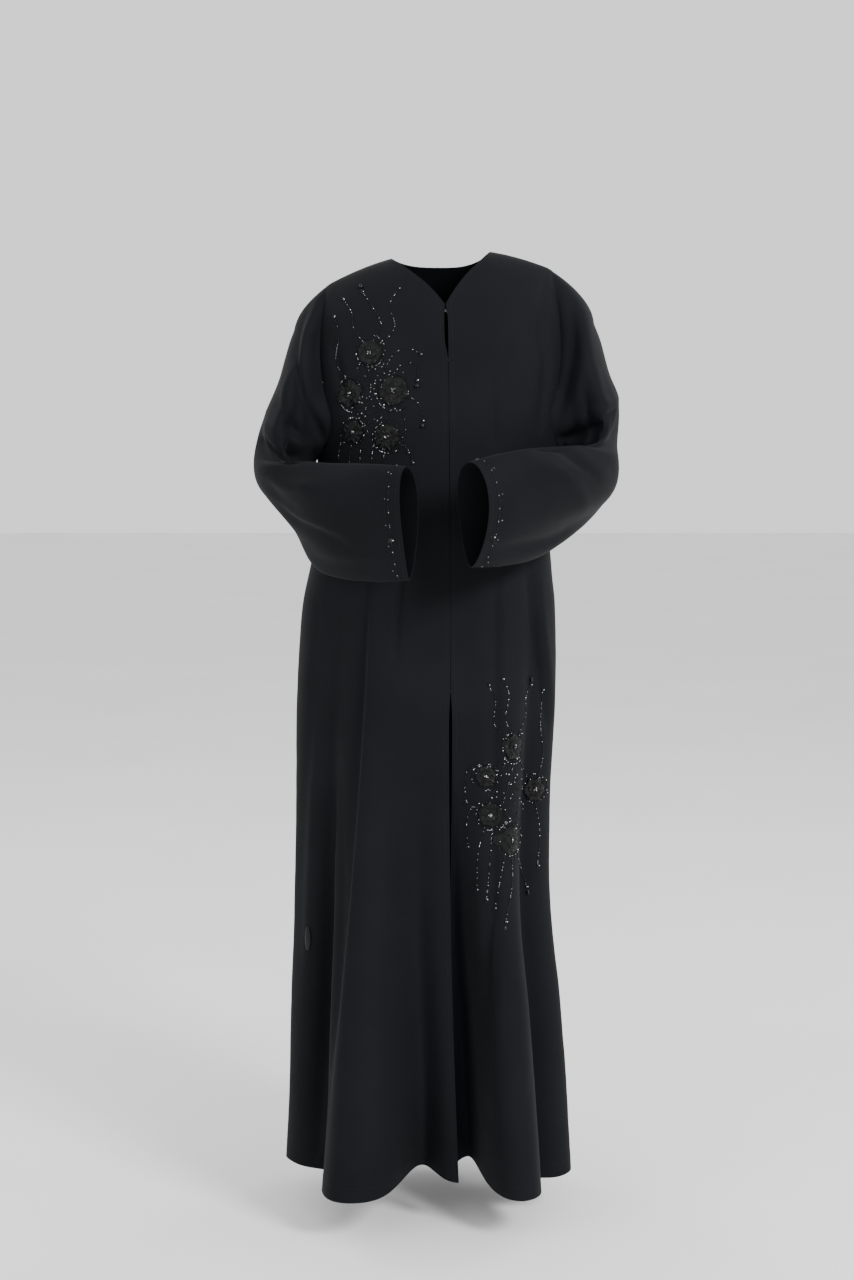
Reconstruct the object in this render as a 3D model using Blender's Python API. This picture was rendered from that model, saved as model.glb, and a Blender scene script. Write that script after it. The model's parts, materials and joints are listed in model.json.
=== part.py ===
"""An open-front abaya cloak, hollow as worn, held up at its shoulders.

Metres, +Z up. The wearer faces -Y and the wearer's left is +X. The origin is the middle of the
shoulder line at the neck. Angles round the body run in degrees from the centre front (0) over the
wearer's left side (90) to the centre back (180).
"""

import math

import bmesh
import bpy
import numpy as np
from mathutils import Matrix, Vector
from mathutils.bvhtree import BVHTree

CLOTH_PIECES = ("front_right", "front_left", "back", "sleeve_right", "sleeve_left")
CLOTH = 0.0018
SEAM_GAP = 0.0004
HEM_Z = -1.373
SHOULDER_Y = 0.008
SHOULDER_DROP = 1.47
SHOULDER_TILT = 0.066
SHOULDER_ROUND = 0.14
SQUARENESS = 2.25
SHOULDER_TIP_Z = -0.04
SIDE_RADIUS = 0.18

# Folds point straight forward up to this share of the half turn's sine, and straight out once
# the sine has grown by the next share.
FORWARD_SHARE = 0.25
TURNING_SHARE = 0.65

NECK_SIDE_X = 0.072
NECK_APEX_Z = -0.080
NECK_BACK_Z = -0.024
NECK_BACK_CURVE = 3.0
SEAM_REACH = 0.004
NECK_END = 0.42
NECKLINE_BOW = 0.10
FRONT_ROW_SPREAD = 1.22
BACK_ROW_SPREAD = 1.12
FRONT_COLUMN_SPREAD = 1.2
SLEEVE_ROW_SPREAD = 1.15
HEM_SHAPED_FROM = 1.3
UNDERARM_Z = -0.300

FRONT_COLUMNS = 20
BACK_COLUMNS = 30
ARMHOLE_ROWS = 12
SKIRT_ROWS = 17
SLEEVE_COLUMNS = 24
SLEEVE_ROWS = 18

# Level rings of the body: height, centre x, half width, front depth, back depth.
BODY_RINGS = (
    (0.030, 0.000, 0.160, 0.095, 0.080),
    (-0.050, 0.000, 0.180, 0.104, 0.098),
    (-0.150, 0.000, 0.194, 0.120, 0.116),
    (-0.240, 0.000, 0.190, 0.132, 0.122),
    (-0.300, 0.000, 0.182, 0.134, 0.120),
    (-0.380, -0.008, 0.168, 0.131, 0.118),
    (-0.460, -0.014, 0.178, 0.129, 0.126),
    (-0.520, -0.017, 0.187, 0.129, 0.140),
    (-0.660, -0.021, 0.190, 0.132, 0.156),
    (-0.810, -0.025, 0.185, 0.138, 0.164),
    (-0.960, -0.026, 0.184, 0.146, 0.172),
    (-1.115, -0.021, 0.192, 0.154, 0.182),
    (-1.270, -0.017, 0.197, 0.162, 0.192),
    (-1.400, -0.017, 0.202, 0.168, 0.198),
)

# How far in from the side the armhole's edge runs: place down the armhole, angle in at the front,
# angle in at the back.
ARMHOLE_INSETS = (
    (0.00, 26, 26),
    (0.32, 27, 26),
    (0.57, 32, 28),
    (0.70, 36, 29),
    (0.86, 25, 20),
    (1.00, 0, 0),
)

# The line where the two fronts meet: height, x, gap between the edges. Where the gap is
# negative, the left edge passes behind the right one.
FRONT_EDGE = (
    (-0.080, 0.006, 0.0010),
    (-0.100, 0.007, 0.0050),
    (-0.135, 0.008, 0.0046),
    (-0.155, 0.010, 0.0010),
    (-0.300, 0.012, 0.0008),
    (-0.630, 0.014, 0.0008),
    (-0.670, 0.014, 0.0042),
    (-0.780, 0.014, 0.0036),
    (-0.900, 0.014, 0.0012),
    (-1.100, 0.0155, -0.0040),
    (-1.400, 0.0240, -0.0080),
)

# Folds that run down the body. A negative height is a valley. The widths are the angles over
# which a fold fades to each side, and growth is how late it deepens on the way down.
# Columns: panel, angle at its start, angle at the hem, width before, width after, start z,
# height at the hem, growth.
BODY_FOLDS = (
    ("right", -20, -35, 11, 17, -0.36, 0.050, 0.9),
    ("right", -4, -3.5, 10, 8, -0.66, -0.066, 1.2),
    ("right", 10, 14, 22, 22, -0.66, -0.055, 1.2),
    ("left", 10, 17, 30, 9, -0.66, -0.125, 1.2),
    ("left", 33, 37, 11, 14, -0.40, 0.047, 0.9),
    ("all", -42, -58, 9, 8, -0.36, -0.040, 0.9),
    ("all", -84, -86, 13, 14, -0.50, 0.018, 1.0),
    ("all", 50, 57, 8, 7, -0.40, -0.036, 0.9),
    ("all", 76, 79, 11, 12, -0.50, 0.016, 1.0),
    ("all", 98, 101, 8, 8, -0.45, -0.030, 1.0),
    ("all", 116, 120, 11, 10, -0.35, 0.028, 1.0),
    ("all", 135, 141, 9, 9, -0.30, -0.034, 1.0),
    ("all", 156, 162, 11, 10, -0.30, 0.030, 1.0),
    ("all", 178, 182, 9, 9, -0.35, -0.036, 1.0),
    ("all", 200, 203, 10, 11, -0.30, 0.028, 1.0),
    ("all", 221, 224, 9, 9, -0.30, -0.034, 1.0),
    ("all", 241, 243, 10, 9, -0.35, 0.026, 1.0),
    ("all", 259, 258, 8, 8, -0.45, -0.030, 1.0),
)

# Where the hem hangs above (or below) its level: panel, angle, width in angle, rise.
HEM_RISES = (
    ("all", -80, 22, 0.013),
    ("right", -4, 10, 0.018),
    ("left", 17, 7, 0.020),
    ("all", 66, 16, -0.004),
    ("back", 182, 14, 0.006),
    ("back", 140, 12, 0.004),
    ("back", 224, 12, 0.004),
)

# Sections of each sleeve below its armhole. Each passes through four points: on the arm's outer
# line, its front (the forearm's top), its inner side, and its back (the forearm's underside).
RIGHT_SLEEVE = (
    ((-0.211, 0.003, -0.110), (-0.192, -0.082, -0.188), (-0.188, -0.004, -0.326), (-0.204, 0.086, -0.195)),
    ((-0.239, 0.000, -0.195), (-0.216, -0.094, -0.240), (-0.191, -0.008, -0.340), (-0.222, 0.086, -0.255)),
    ((-0.265, -0.006, -0.262), (-0.228, -0.102, -0.278), (-0.192, -0.014, -0.352), (-0.232, 0.070, -0.315)),
    ((-0.274, -0.024, -0.315), (-0.222, -0.118, -0.300), (-0.188, -0.026, -0.370), (-0.234, 0.040, -0.372)),
    ((-0.260, -0.066, -0.342), (-0.204, -0.138, -0.304), (-0.186, -0.064, -0.380), (-0.208, 0.000, -0.402)),
    ((-0.218, -0.124, -0.366), (-0.172, -0.166, -0.303), (-0.156, -0.112, -0.392), (-0.184, -0.070, -0.456)),
    ((-0.168, -0.182, -0.388), (-0.130, -0.200, -0.302), (-0.112, -0.156, -0.386), (-0.140, -0.140, -0.470)),
    ((-0.108, -0.230, -0.386), (-0.088, -0.226, -0.302), (-0.070, -0.188, -0.384), (-0.088, -0.200, -0.468)),
    ((-0.056, -0.264, -0.384), (-0.048, -0.244, -0.304), (-0.032, -0.214, -0.384), (-0.044, -0.236, -0.462)),
)
LEFT_SLEEVE = (
    ((0.220, 0.003, -0.100), (0.196, -0.082, -0.184), (0.194, -0.004, -0.326), (0.206, 0.086, -0.192)),
    ((0.247, 0.000, -0.180), (0.218, -0.094, -0.232), (0.200, -0.008, -0.340), (0.224, 0.086, -0.250)),
    ((0.262, -0.006, -0.226), (0.230, -0.102, -0.262), (0.202, -0.014, -0.352), (0.236, 0.070, -0.310)),
    ((0.258, -0.024, -0.285), (0.226, -0.118, -0.276), (0.200, -0.026, -0.366), (0.238, 0.040, -0.360)),
    ((0.256, -0.066, -0.332), (0.206, -0.138, -0.280), (0.184, -0.064, -0.370), (0.216, -0.002, -0.391)),
    ((0.222, -0.124, -0.350), (0.172, -0.166, -0.280), (0.152, -0.112, -0.370), (0.176, -0.066, -0.422)),
    ((0.166, -0.182, -0.364), (0.126, -0.204, -0.281), (0.108, -0.156, -0.366), (0.128, -0.142, -0.442)),
    ((0.112, -0.230, -0.374), (0.082, -0.230, -0.287), (0.068, -0.184, -0.370), (0.082, -0.200, -0.446)),
    ((0.064, -0.266, -0.380), (0.040, -0.244, -0.298), (0.024, -0.206, -0.376), (0.040, -0.236, -0.444)),
)
SLEEVE_STATIONS = (0.0, 0.7, 1.7, 2.5, 3.2, 4.0, 5.0, 6.2, 7.2, 8.0)

# How much narrower each section is below than above, where the cloth hangs from the arm.
SLEEVE_PINCH = (0.0, 0.0, 0.05, 0.10, 0.20, 0.30, 0.38, 0.42, 0.42)

# Flowers of stiff cloth petals: panel, number, x, z, diameter, turn.
FLOWERS = (
    ("front_right", 1, -0.102, -0.150, 0.038, 10),
    ("front_right", 2, -0.066, -0.202, 0.045, 50),
    ("front_right", 3, -0.128, -0.208, 0.041, 25),
    ("front_right", 4, -0.078, -0.268, 0.038, 70),
    ("front_right", 5, -0.125, -0.262, 0.034, 5),
    ("front_left", 1, 0.106, -0.716, 0.040, 15),
    ("front_left", 2, 0.066, -0.756, 0.031, 40),
    ("front_left", 3, 0.136, -0.786, 0.037, 60),
    ("front_left", 4, 0.070, -0.812, 0.036, 0),
    ("front_left", 5, 0.104, -0.850, 0.043, 30),
)
PETALS = 5
SIDES_PER_PETAL = 4
PETAL_RISE = 0.0030
CENTRE_RISE = 0.0042
TRIM_GAP = 0.0004
TRIM_START = 0.0060
TRIM_STEP = 0.0001
LOOK_REACH = 0.05

# Rings of a flower from its centre out: share of the radius, how deep the notch between petals
# is, and how far the petal stands up along its middle and at the notch, as shares of its rise.
PETAL_RINGS = (
    (0.32, 0.00, 0.80, 0.80),
    (0.68, 0.16, 0.95, 0.50),
    (1.00, 0.32, 0.75, 0.30),
)

# Large drop beads at the ends of beaded tendrils: panel, number, x, z, turn.
DROPS = (
    ("front_right", 1, -0.114, -0.056, 20),
    ("front_right", 2, -0.034, -0.196, -60),
    ("front_right", 3, -0.026, -0.252, -40),
    ("front_left", 1, 0.130, -0.622, -10),
    ("front_left", 2, 0.128, -0.940, 10),
    ("front_left", 3, 0.092, -0.975, 25),
)
DROP_LENGTH = 0.0078
DROP_WIDTH = 0.0050

# Hook and eye fasteners inside the front edges: number, z.
FASTENERS = ((1, -0.088), (2, -0.158), (3, -0.634))
WIRE = 0.00045
HOOK_STAND = 0.0010
EYE_STAND = 0.0004

PLATE_X = -0.196
PLATE_Z = -1.012
PLATE_WIDTH = 0.011
PLATE_HEIGHT = 0.037
PLATE_THICKNESS = 0.0014
PLATE_CORNER = 0.0048
PLATE_STAND = 0.0010

# Folds on the sleeves: sleeve, station and turn where it starts, station and turn where it ends,
# width in turn, height. The turn is in degrees from the outer line (0) over the front (90).
SLEEVE_FOLDS = (
    ("right", 0.0, 0, 0.8, 0, 40, 0.005),
    ("left", 0.0, 0, 0.8, 0, 40, 0.008),
    ("right", 0.6, 60, 3.6, 100, 16, 0.007),
    ("right", 0.8, 95, 4.0, 128, 14, -0.010),
    ("right", 2.2, 20, 4.4, 75, 15, -0.008),
    ("right", 3.4, -50, 7.5, -35, 22, -0.008),
    ("right", 4.2, 20, 7.4, 42, 18, 0.006),
    ("left", 0.6, 60, 3.6, 100, 16, 0.007),
    ("left", 0.8, 95, 4.0, 128, 14, -0.010),
    ("left", 2.4, 10, 4.6, 80, 15, -0.008),
    ("left", 3.6, -40, 7.5, -30, 20, -0.008),
    ("left", 4.4, 25, 7.4, 45, 18, 0.006),
)


def smooth(t):
    t = min(max(t, 0.0), 1.0)
    return t * t * (3 - 2 * t)


def spline(keys, values, at):
    """A smooth curve through values (numbers or points) at rising keys, read at one place."""
    at = min(max(at, keys[0]), keys[-1])
    i = 0
    while i < len(keys) - 2 and at > keys[i + 1]:
        i += 1

    def slope(k):
        a, b = max(k - 1, 0), min(k + 1, len(keys) - 1)
        return (values[b] - values[a]) / (keys[b] - keys[a])

    span = keys[i + 1] - keys[i]
    t = (at - keys[i]) / span
    bend = t * (1 - t) * span * ((1 - t) * slope(i) - t * slope(i + 1))
    return values[i] + (values[i + 1] - values[i]) * t * t * (3 - 2 * t) + bend


def read_table(table, z, column):
    """One column of a table whose first column is a falling height, read at height z."""
    return spline([-row[0] for row in table], [row[column] for row in table], -z)


def shoulder_line(x):
    return SHOULDER_TILT * x - SHOULDER_DROP * x * x


def ring_point(angle, z):
    """The body without its folds: x and y at an angle and a height."""
    centre, half_width, front, back = (read_table(BODY_RINGS, z, k) for k in (1, 2, 3, 4))
    s, c = math.sin(math.radians(angle)), math.cos(math.radians(angle))
    reach = (abs(s) ** SQUARENESS + abs(c) ** SQUARENESS) ** (-1 / SQUARENESS)
    x = centre + half_width * reach * s
    below = min(max((shoulder_line(x) - z) / SHOULDER_ROUND, 0.0), 1.0)
    fullness = math.sqrt(1 - (1 - below) ** 2)
    return x, SHOULDER_Y - (front if c > 0 else back) * reach * c * fullness


def fold_height(angle, z, panel):
    total = 0.0
    for owner, start, hem, before, after, top, height, growth in BODY_FOLDS:
        if z >= top or owner not in ("all", panel):
            continue
        down = (top - z) / (top - HEM_Z)
        off = (angle - start - (hem - start) * min(down, 1.0) + 180) % 360 - 180
        width = after if off > 0 else before
        total += height * down**growth * math.exp(-((off / width) ** 2))
    return total


def body_point(angle, z, panel):
    """A point of the body's outer surface, with its folds."""
    x, y = ring_point(angle, z)
    half_width, depth = read_table(BODY_RINGS, z, 2), read_table(BODY_RINGS, z, 3)
    s, c = math.sin(math.radians(angle)), math.cos(math.radians(angle))
    sideways = s / half_width
    if c > 0:
        sideways *= smooth((abs(s) - FORWARD_SHARE) / TURNING_SHARE)
    out = Vector((sideways, -c / depth, 0)).normalized()
    return Vector((x, y, z)) + out * fold_height(angle, z, panel)


def angle_at_x(x, z):
    """The angle on the front where the body at this height has this x."""
    low, high = -85.0, 85.0
    for _ in range(40):
        middle = (low + high) / 2
        if ring_point(middle, z)[0] < x:
            low = middle
        else:
            high = middle
    return (low + high) / 2


def on_shoulder(angle, z):
    """The height at which the body at this angle meets the shoulder line."""
    for _ in range(8):
        z = shoulder_line(ring_point(angle, z)[0])
    return z


def outer_edge(v, side, back):
    """Angle and height of a panel's outer edge: the armhole up to v = 1, then the side seam to the hem."""
    shoulder = on_shoulder(side * (90 - ARMHOLE_INSETS[0][1]), SHOULDER_TIP_Z)
    inset = math.degrees(SEAM_GAP / 2 / SIDE_RADIUS)
    places = [row[0] for row in ARMHOLE_INSETS]
    insets = [row[2 if back else 1] for row in ARMHOLE_INSETS]
    if v <= 1:
        z = shoulder + (UNDERARM_Z - shoulder) * (1 - math.cos(math.pi * v)) / 2
        inset += spline(places, insets, v)
    else:
        z = UNDERARM_Z + (HEM_Z - UNDERARM_Z) * (v - 1)
    return side * (90 + inset if back else 90 - inset), z


def front_edge(z, side):
    return read_table(FRONT_EDGE, z, 1) + side * read_table(FRONT_EDGE, z, 2) / 2


def hem_rise(angle, panel):
    total = 0.0
    for owner, centre, width, rise in HEM_RISES:
        if owner in ("all", panel):
            off = (angle - centre + 180) % 360 - 180
            total += rise * math.exp(-((off / width) ** 2))
    return total


def front_point(u, v, side):
    """A front panel: u from the centre edge (0) to the side (1), v from the shoulder (0) to the hem (2)."""
    panel = "left" if side > 0 else "right"
    neck_z = shoulder_line(side * NECK_SIDE_X)
    if v <= NECK_END:
        t = v / NECK_END
        inner_z = neck_z + (NECK_APEX_Z - neck_z) * t
        apex_x = front_edge(NECK_APEX_Z, side)
        x = side * NECK_SIDE_X + (apex_x - side * NECK_SIDE_X) * (t + NECKLINE_BOW * math.sin(math.pi * t))
    else:
        t = (v - NECK_END) / (2 - NECK_END)
        inner_z = NECK_APEX_Z + (HEM_Z - NECK_APEX_Z) * t**FRONT_ROW_SPREAD
        x = front_edge(inner_z, side)
    inner = angle_at_x(x, inner_z)
    outer, outer_z = outer_edge(v, side, False)
    angle = inner + (outer - inner) * u
    z = inner_z + (outer_z - inner_z) * u
    if v < 1:
        top_inner = angle_at_x(side * NECK_SIDE_X, neck_z)
        top_outer, top_outer_z = outer_edge(0, side, False)
        level = neck_z + (top_outer_z - neck_z) * u
        top_angle = top_inner + (top_outer - top_inner) * u
        z += (on_shoulder(top_angle, level) - level) * (1 - v) ** 2
    z += hem_rise(angle, panel) * smooth((v - HEM_SHAPED_FROM) / (2 - HEM_SHAPED_FROM))
    return body_point(angle, z, panel)


def back_point(u, v):
    """The back panel: u from the wearer's left side (-1) to the right (1), v from the shoulders down."""
    side = 1 if u <= 0 else -1
    outer, outer_z = outer_edge(v, side, True)
    angle = 180 + (outer % 360 - 180) * abs(u)
    centre_z = NECK_BACK_Z + (HEM_Z - NECK_BACK_Z) * (v / 2) ** BACK_ROW_SPREAD
    z = centre_z + (outer_z - centre_z) * abs(u)
    if v < 1:
        tip, tip_z = outer_edge(0, side, True)
        top_angle = 180 + (tip % 360 - 180) * abs(u)
        neck_angle = 180 - angle_at_x(side * NECK_SIDE_X, shoulder_line(side * NECK_SIDE_X))
        from_centre = abs(top_angle - 180) / abs(neck_angle - 180)
        level = NECK_BACK_Z + (tip_z - NECK_BACK_Z) * abs(u)
        top_z = on_shoulder(top_angle, tip_z)
        if from_centre < 1:
            neck_z = on_shoulder(neck_angle, tip_z)
            top_z = NECK_BACK_Z + (neck_z - NECK_BACK_Z) * from_centre**NECK_BACK_CURVE
        z += (top_z - level) * (1 - v) ** 2
    z += hem_rise(angle, "back") * smooth((v - HEM_SHAPED_FROM) / (2 - HEM_SHAPED_FROM))
    return body_point(angle, z, "back")


def sleeve_section(four, pinch, turn):
    """A point at this turn on a closed curve through four points."""
    outer, front, inner, back = (Vector(p) for p in four)
    a = math.radians(turn)
    middle = (outer + front + inner + back) / 4
    skew = (outer - front + inner - back) / 4
    across = (outer - inner) / 2 * math.cos(a) * (1 + pinch * math.sin(a))
    return middle + across + (front - back) / 2 * math.sin(a) + skew * math.cos(2 * a)


def armhole_point(turn, side):
    """The armhole's edge at this turn from the shoulder tip (0) over the front to the underarm (180)."""
    back = turn > 180
    angle, z = outer_edge((360 - turn if back else turn) / 180, side, back)
    return body_point(angle, z, "back" if back else ("left" if side > 0 else "right"))


def sleeve_point(side, station, turn):
    name, sections = ("left", LEFT_SLEEVE) if side > 0 else ("right", RIGHT_SLEEVE)
    points = [armhole_point(turn % 360, side)]
    points += [sleeve_section(four, pinch, turn) for four, pinch in zip(sections, SLEEVE_PINCH)]
    return spline(SLEEVE_STATIONS, points, station)


def sleeve_fold(side, station, turn):
    total = 0.0
    for owner, start, start_turn, end, end_turn, width, height in SLEEVE_FOLDS:
        if owner != ("left" if side > 0 else "right") or not start < station < end:
            continue
        along = (station - start) / (end - start)
        off = (turn - start_turn - (end_turn - start_turn) * along + 180) % 360 - 180
        total += height * math.sin(math.pi * along) * math.exp(-((off / width) ** 2))
    return total


def normals_of(points, closed=False):
    """Unit normals of a grid of points, rows first."""
    down = np.gradient(points, axis=0)
    if closed:
        across = (np.roll(points, -1, axis=1) - np.roll(points, 1, axis=1)) / 2
    else:
        across = np.gradient(points, axis=1)
    normals = np.cross(down, across)
    return normals / np.linalg.norm(normals, axis=2, keepdims=True)


def unit(vectors):
    return vectors / np.linalg.norm(vectors, axis=-1, keepdims=True)


def side_normal(angle, z):
    """The body's normal at a side seam, the same for both panels that meet there."""
    round_body = body_point(angle + 1, z, "back") - body_point(angle - 1, z, "back")
    down = body_point(angle, z - 0.004, "back") - body_point(angle, z + 0.004, "back")
    return np.array(down.cross(round_body).normalized())


def shell(name, outer, normals, closed=False):
    """One closed body: a grid of outer points, the same grid moved in by the cloth, and the rims between."""
    rows, columns = outer.shape[:2]
    inner = outer - normals * CLOTH
    count = rows * columns
    points = np.concatenate([outer.reshape(-1, 3), inner.reshape(-1, 3)])
    faces = []
    for j in range(rows - 1):
        for i in range(columns if closed else columns - 1):
            a, b = j * columns + i, j * columns + (i + 1) % columns
            c, d = b + columns, a + columns
            faces.append((a, d, c, b))
            faces.append((a + count, b + count, c + count, d + count))
    rim = []
    last = (rows - 1) * columns
    for i in range(columns if closed else columns - 1):
        k = (i + 1) % columns
        rim.append((i, k))
        rim.append((last + k, last + i))
    if not closed:
        for j in range(rows - 1):
            rim.append(((j + 1) * columns, j * columns))
            rim.append((j * columns + columns - 1, (j + 1) * columns + columns - 1))
    for a, b in rim:
        faces.append((a, b, b + count, a + count))
    mesh = bpy.data.meshes.new(name)
    mesh.from_pydata(points.tolist(), [], faces)
    mesh.update()
    return mesh


def volume_of(mesh):
    mesh.calc_loop_triangles()
    total = 0.0
    for triangle in mesh.loop_triangles:
        a, b, c = (mesh.vertices[k].co for k in triangle.vertices)
        total += a.dot(b.cross(c))
    return total / 6


def put(name, mesh, material, sharp=50):
    if volume_of(mesh) < 0:
        mesh.flip_normals()
    mesh.materials.append(material)
    obj = bpy.data.objects.new(name, mesh)
    bpy.data.collections["abaya_cloak"].objects.link(obj)
    mesh.shade_smooth()
    mesh.set_sharp_from_angle(angle=math.radians(sharp))
    return obj


def make_material(name, colour, roughness, sheen=0.0, metallic=0.0):
    material = bpy.data.materials.new(name)
    material.use_nodes = True
    shader = material.node_tree.nodes["Principled BSDF"]
    shader.inputs["Base Color"].default_value = (*colour, 1)
    shader.inputs["Roughness"].default_value = roughness
    shader.inputs["Sheen Weight"].default_value = sheen
    shader.inputs["Metallic"].default_value = metallic
    material.diffuse_color = (*colour, 1)
    return material


def panel_rows():
    above = [k / ARMHOLE_ROWS for k in range(ARMHOLE_ROWS)]
    below = [1 + k / SKIRT_ROWS for k in range(SKIRT_ROWS + 1)]
    return above + below


def build_front(side, material):
    name = "front_left" if side > 0 else "front_right"
    us = [(k / FRONT_COLUMNS) ** FRONT_COLUMN_SPREAD for k in range(FRONT_COLUMNS + 1)]
    points = np.array([[front_point(u, v, side) for u in us] for v in panel_rows()])
    points[0, :, 1] -= SEAM_GAP / 2
    normals = normals_of(points)
    row = points[ARMHOLE_ROWS]
    normals *= np.sign((normals[ARMHOLE_ROWS] * (row - [0, 0, row[0, 2]])).sum())
    normals[:, 0, 0] = 0
    shoulder = np.gradient(points[0], axis=0)
    normals[0] = np.stack([-shoulder[:, 2], 0 * shoulder[:, 0], shoulder[:, 0]], axis=1) * side
    for j, v in enumerate(panel_rows()):
        if v >= 1:
            normals[j, -1] = side_normal(side * 90, outer_edge(v, side, False)[1])
    return put(name, shell(name, points, unit(normals)), material)


def build_back(material):
    us = [2 * k / BACK_COLUMNS - 1 for k in range(BACK_COLUMNS + 1)]
    points = np.array([[back_point(u, v) for u in us] for v in panel_rows()])
    points[0, :, 1] += SEAM_GAP / 2
    normals = normals_of(points)
    row = points[ARMHOLE_ROWS]
    normals *= np.sign((normals[ARMHOLE_ROWS] * (row - [0, 0, row[0, 2]])).sum())
    on_seam = np.abs(points[0, :, 0]) >= NECK_SIDE_X - SEAM_REACH
    shoulder = np.gradient(points[0], axis=0)
    level = np.stack([shoulder[:, 2], 0 * shoulder[:, 0], -shoulder[:, 0]], axis=1)
    normals[0] = np.where(on_seam[:, None], level, normals[0])
    for j, v in enumerate(panel_rows()):
        if v >= 1:
            z = outer_edge(v, 1, True)[1]
            normals[j, 0] = side_normal(90, z)
            normals[j, -1] = side_normal(-90, z)
    return put("back", shell("back", points, unit(normals)), material)


def build_sleeve(side, material):
    name = "sleeve_left" if side > 0 else "sleeve_right"
    turns = [360 * k / SLEEVE_COLUMNS for k in range(SLEEVE_COLUMNS)]
    end = SLEEVE_STATIONS[-1]
    stations = [end * (k / SLEEVE_ROWS) ** SLEEVE_ROW_SPREAD for k in range(SLEEVE_ROWS + 1)]
    points = np.array([[sleeve_point(side, s, t) for t in turns] for s in stations])
    middle = points[0].mean(axis=0)
    radial = points[0] - middle
    radial[:, 0] = 0
    radial = unit(radial)
    points[0] -= radial * SEAM_GAP
    points[0, :, 0] += side * SEAM_GAP
    middle_row = SLEEVE_ROWS // 2
    normals = normals_of(points, closed=True)
    normals *= np.sign((normals[middle_row] * (points[middle_row] - points[middle_row].mean(axis=0))).sum())
    for j, s in enumerate(stations):
        for i, t in enumerate(turns):
            points[j, i] += normals[j, i] * sleeve_fold(side, s, t)
    normals = normals_of(points, closed=True)
    normals *= np.sign((normals[middle_row] * (points[middle_row] - points[middle_row].mean(axis=0))).sum())
    normals[0] = radial
    return put(name, shell(name, points, normals, closed=True), material)


def surface_of(obj):
    mesh = obj.data
    return BVHTree.FromPolygons([v.co for v in mesh.vertices], [list(p.vertices) for p in mesh.polygons])


def frame_on(surface, x, z):
    """The cloth's point behind a front view's x and z, with directions across, up and out of the cloth."""
    ahead, reach = Vector((0, 1, 0)), 0.010
    spot, left, right, low, high = (
        surface.ray_cast(Vector((x + dx, -1, z + dz)), ahead)[0]
        for dx, dz in ((0, 0), (-reach, 0), (reach, 0), (0, -reach), (0, reach))
    )
    out = (right - left).cross(high - low).normalized()
    across = Vector((0, 0, 1)).cross(out).normalized()
    return spot, across, out.cross(across), out


def on_cloth(surface, frame, a, b):
    """The cloth's point at a across and b up from the frame's spot, seen along its out direction."""
    spot, across, up, out = frame
    start = spot + across * a + up * b
    found = surface.ray_cast(start + out * LOOK_REACH, -out, 2 * LOOK_REACH)[0]
    return found if found else start


def settle(points, faces, surface, out):
    """A piece's points lowered until its faces meet the cloth, then lifted clear by TRIM_GAP."""
    lowered = 0.0
    while not BVHTree.FromPolygons([p - out * lowered for p in points], faces).overlap(surface):
        lowered += TRIM_STEP
    return [p - out * (lowered - TRIM_STEP - TRIM_GAP) for p in points]


def build_flower(panel, number, x, z, diameter, turn, surface, material):
    """A flower in one body: cupped petals round a domed centre, its underside following the cloth."""
    frame = frame_on(surface, x, z)
    out = frame[3]
    lifted = out * TRIM_START
    sides = PETALS * SIDES_PER_PETAL
    top, bottom = [], []
    for share, notch, middle_rise, edge_rise in PETAL_RINGS:
        for i in range(sides):
            petal = abs(math.cos(math.pi * i / SIDES_PER_PETAL))
            reach = diameter / 2 * share * (1 - notch * (1 - petal))
            a = math.radians(turn) + 2 * math.pi * i / sides
            foot = on_cloth(surface, frame, reach * math.cos(a), reach * math.sin(a)) + lifted
            bottom.append(foot)
            top.append(foot + out * PETAL_RISE * (edge_rise + (middle_rise - edge_rise) * petal))
    middle = on_cloth(surface, frame, 0, 0) + lifted
    points = top + bottom + [middle + out * CENTRE_RISE, middle]
    low, last = len(top), len(top) - sides
    faces = []
    for i in range(sides):
        j = (i + 1) % sides
        faces.append((len(points) - 2, i, j))
        faces.append((len(points) - 1, low + j, low + i))
        faces.append((last + i, low + last + i, low + last + j, last + j))
        for row in range(0, last, sides):
            a, b, c, d = row + i, row + sides + i, row + sides + j, row + j
            faces.append((a, b, c, d))
            faces.append((low + d, low + c, low + b, low + a))
    mesh = bpy.data.meshes.new(f"flower_{panel}_{number}")
    mesh.from_pydata(settle(points, faces, surface, out), [], faces)
    return put(f"flower_{panel[6:]}_{number}", mesh, material)


def build_drop(panel, number, x, z, turn, surface, material):
    spot, across, up, out = frame_on(surface, x, z)
    along = up * math.cos(math.radians(turn)) + across * math.sin(math.radians(turn))
    beside = out.cross(along)
    centre = spot + out * (DROP_WIDTH / 2 + TRIM_START)
    axes = (beside * DROP_WIDTH / 2, out * DROP_WIDTH / 2, along * DROP_LENGTH / 2)
    placed = Matrix([(*(axis[k] for axis in axes), centre[k]) for k in range(3)] + [(0, 0, 0, 1)])
    bm = bmesh.new()
    bmesh.ops.create_uvsphere(bm, u_segments=8, v_segments=6, radius=1, matrix=placed)
    bm.verts.index_update()
    points = [v.co.copy() for v in bm.verts]
    faces = [[v.index for v in f.verts] for f in bm.faces]
    for vertex, place in zip(bm.verts, settle(points, faces, surface, out)):
        vertex.co = place
    mesh = bpy.data.meshes.new(f"drop_{panel}_{number}")
    bm.to_mesh(mesh)
    bm.free()
    return put(f"drop_{panel[6:]}_{number}", mesh, material, sharp=180)


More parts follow.
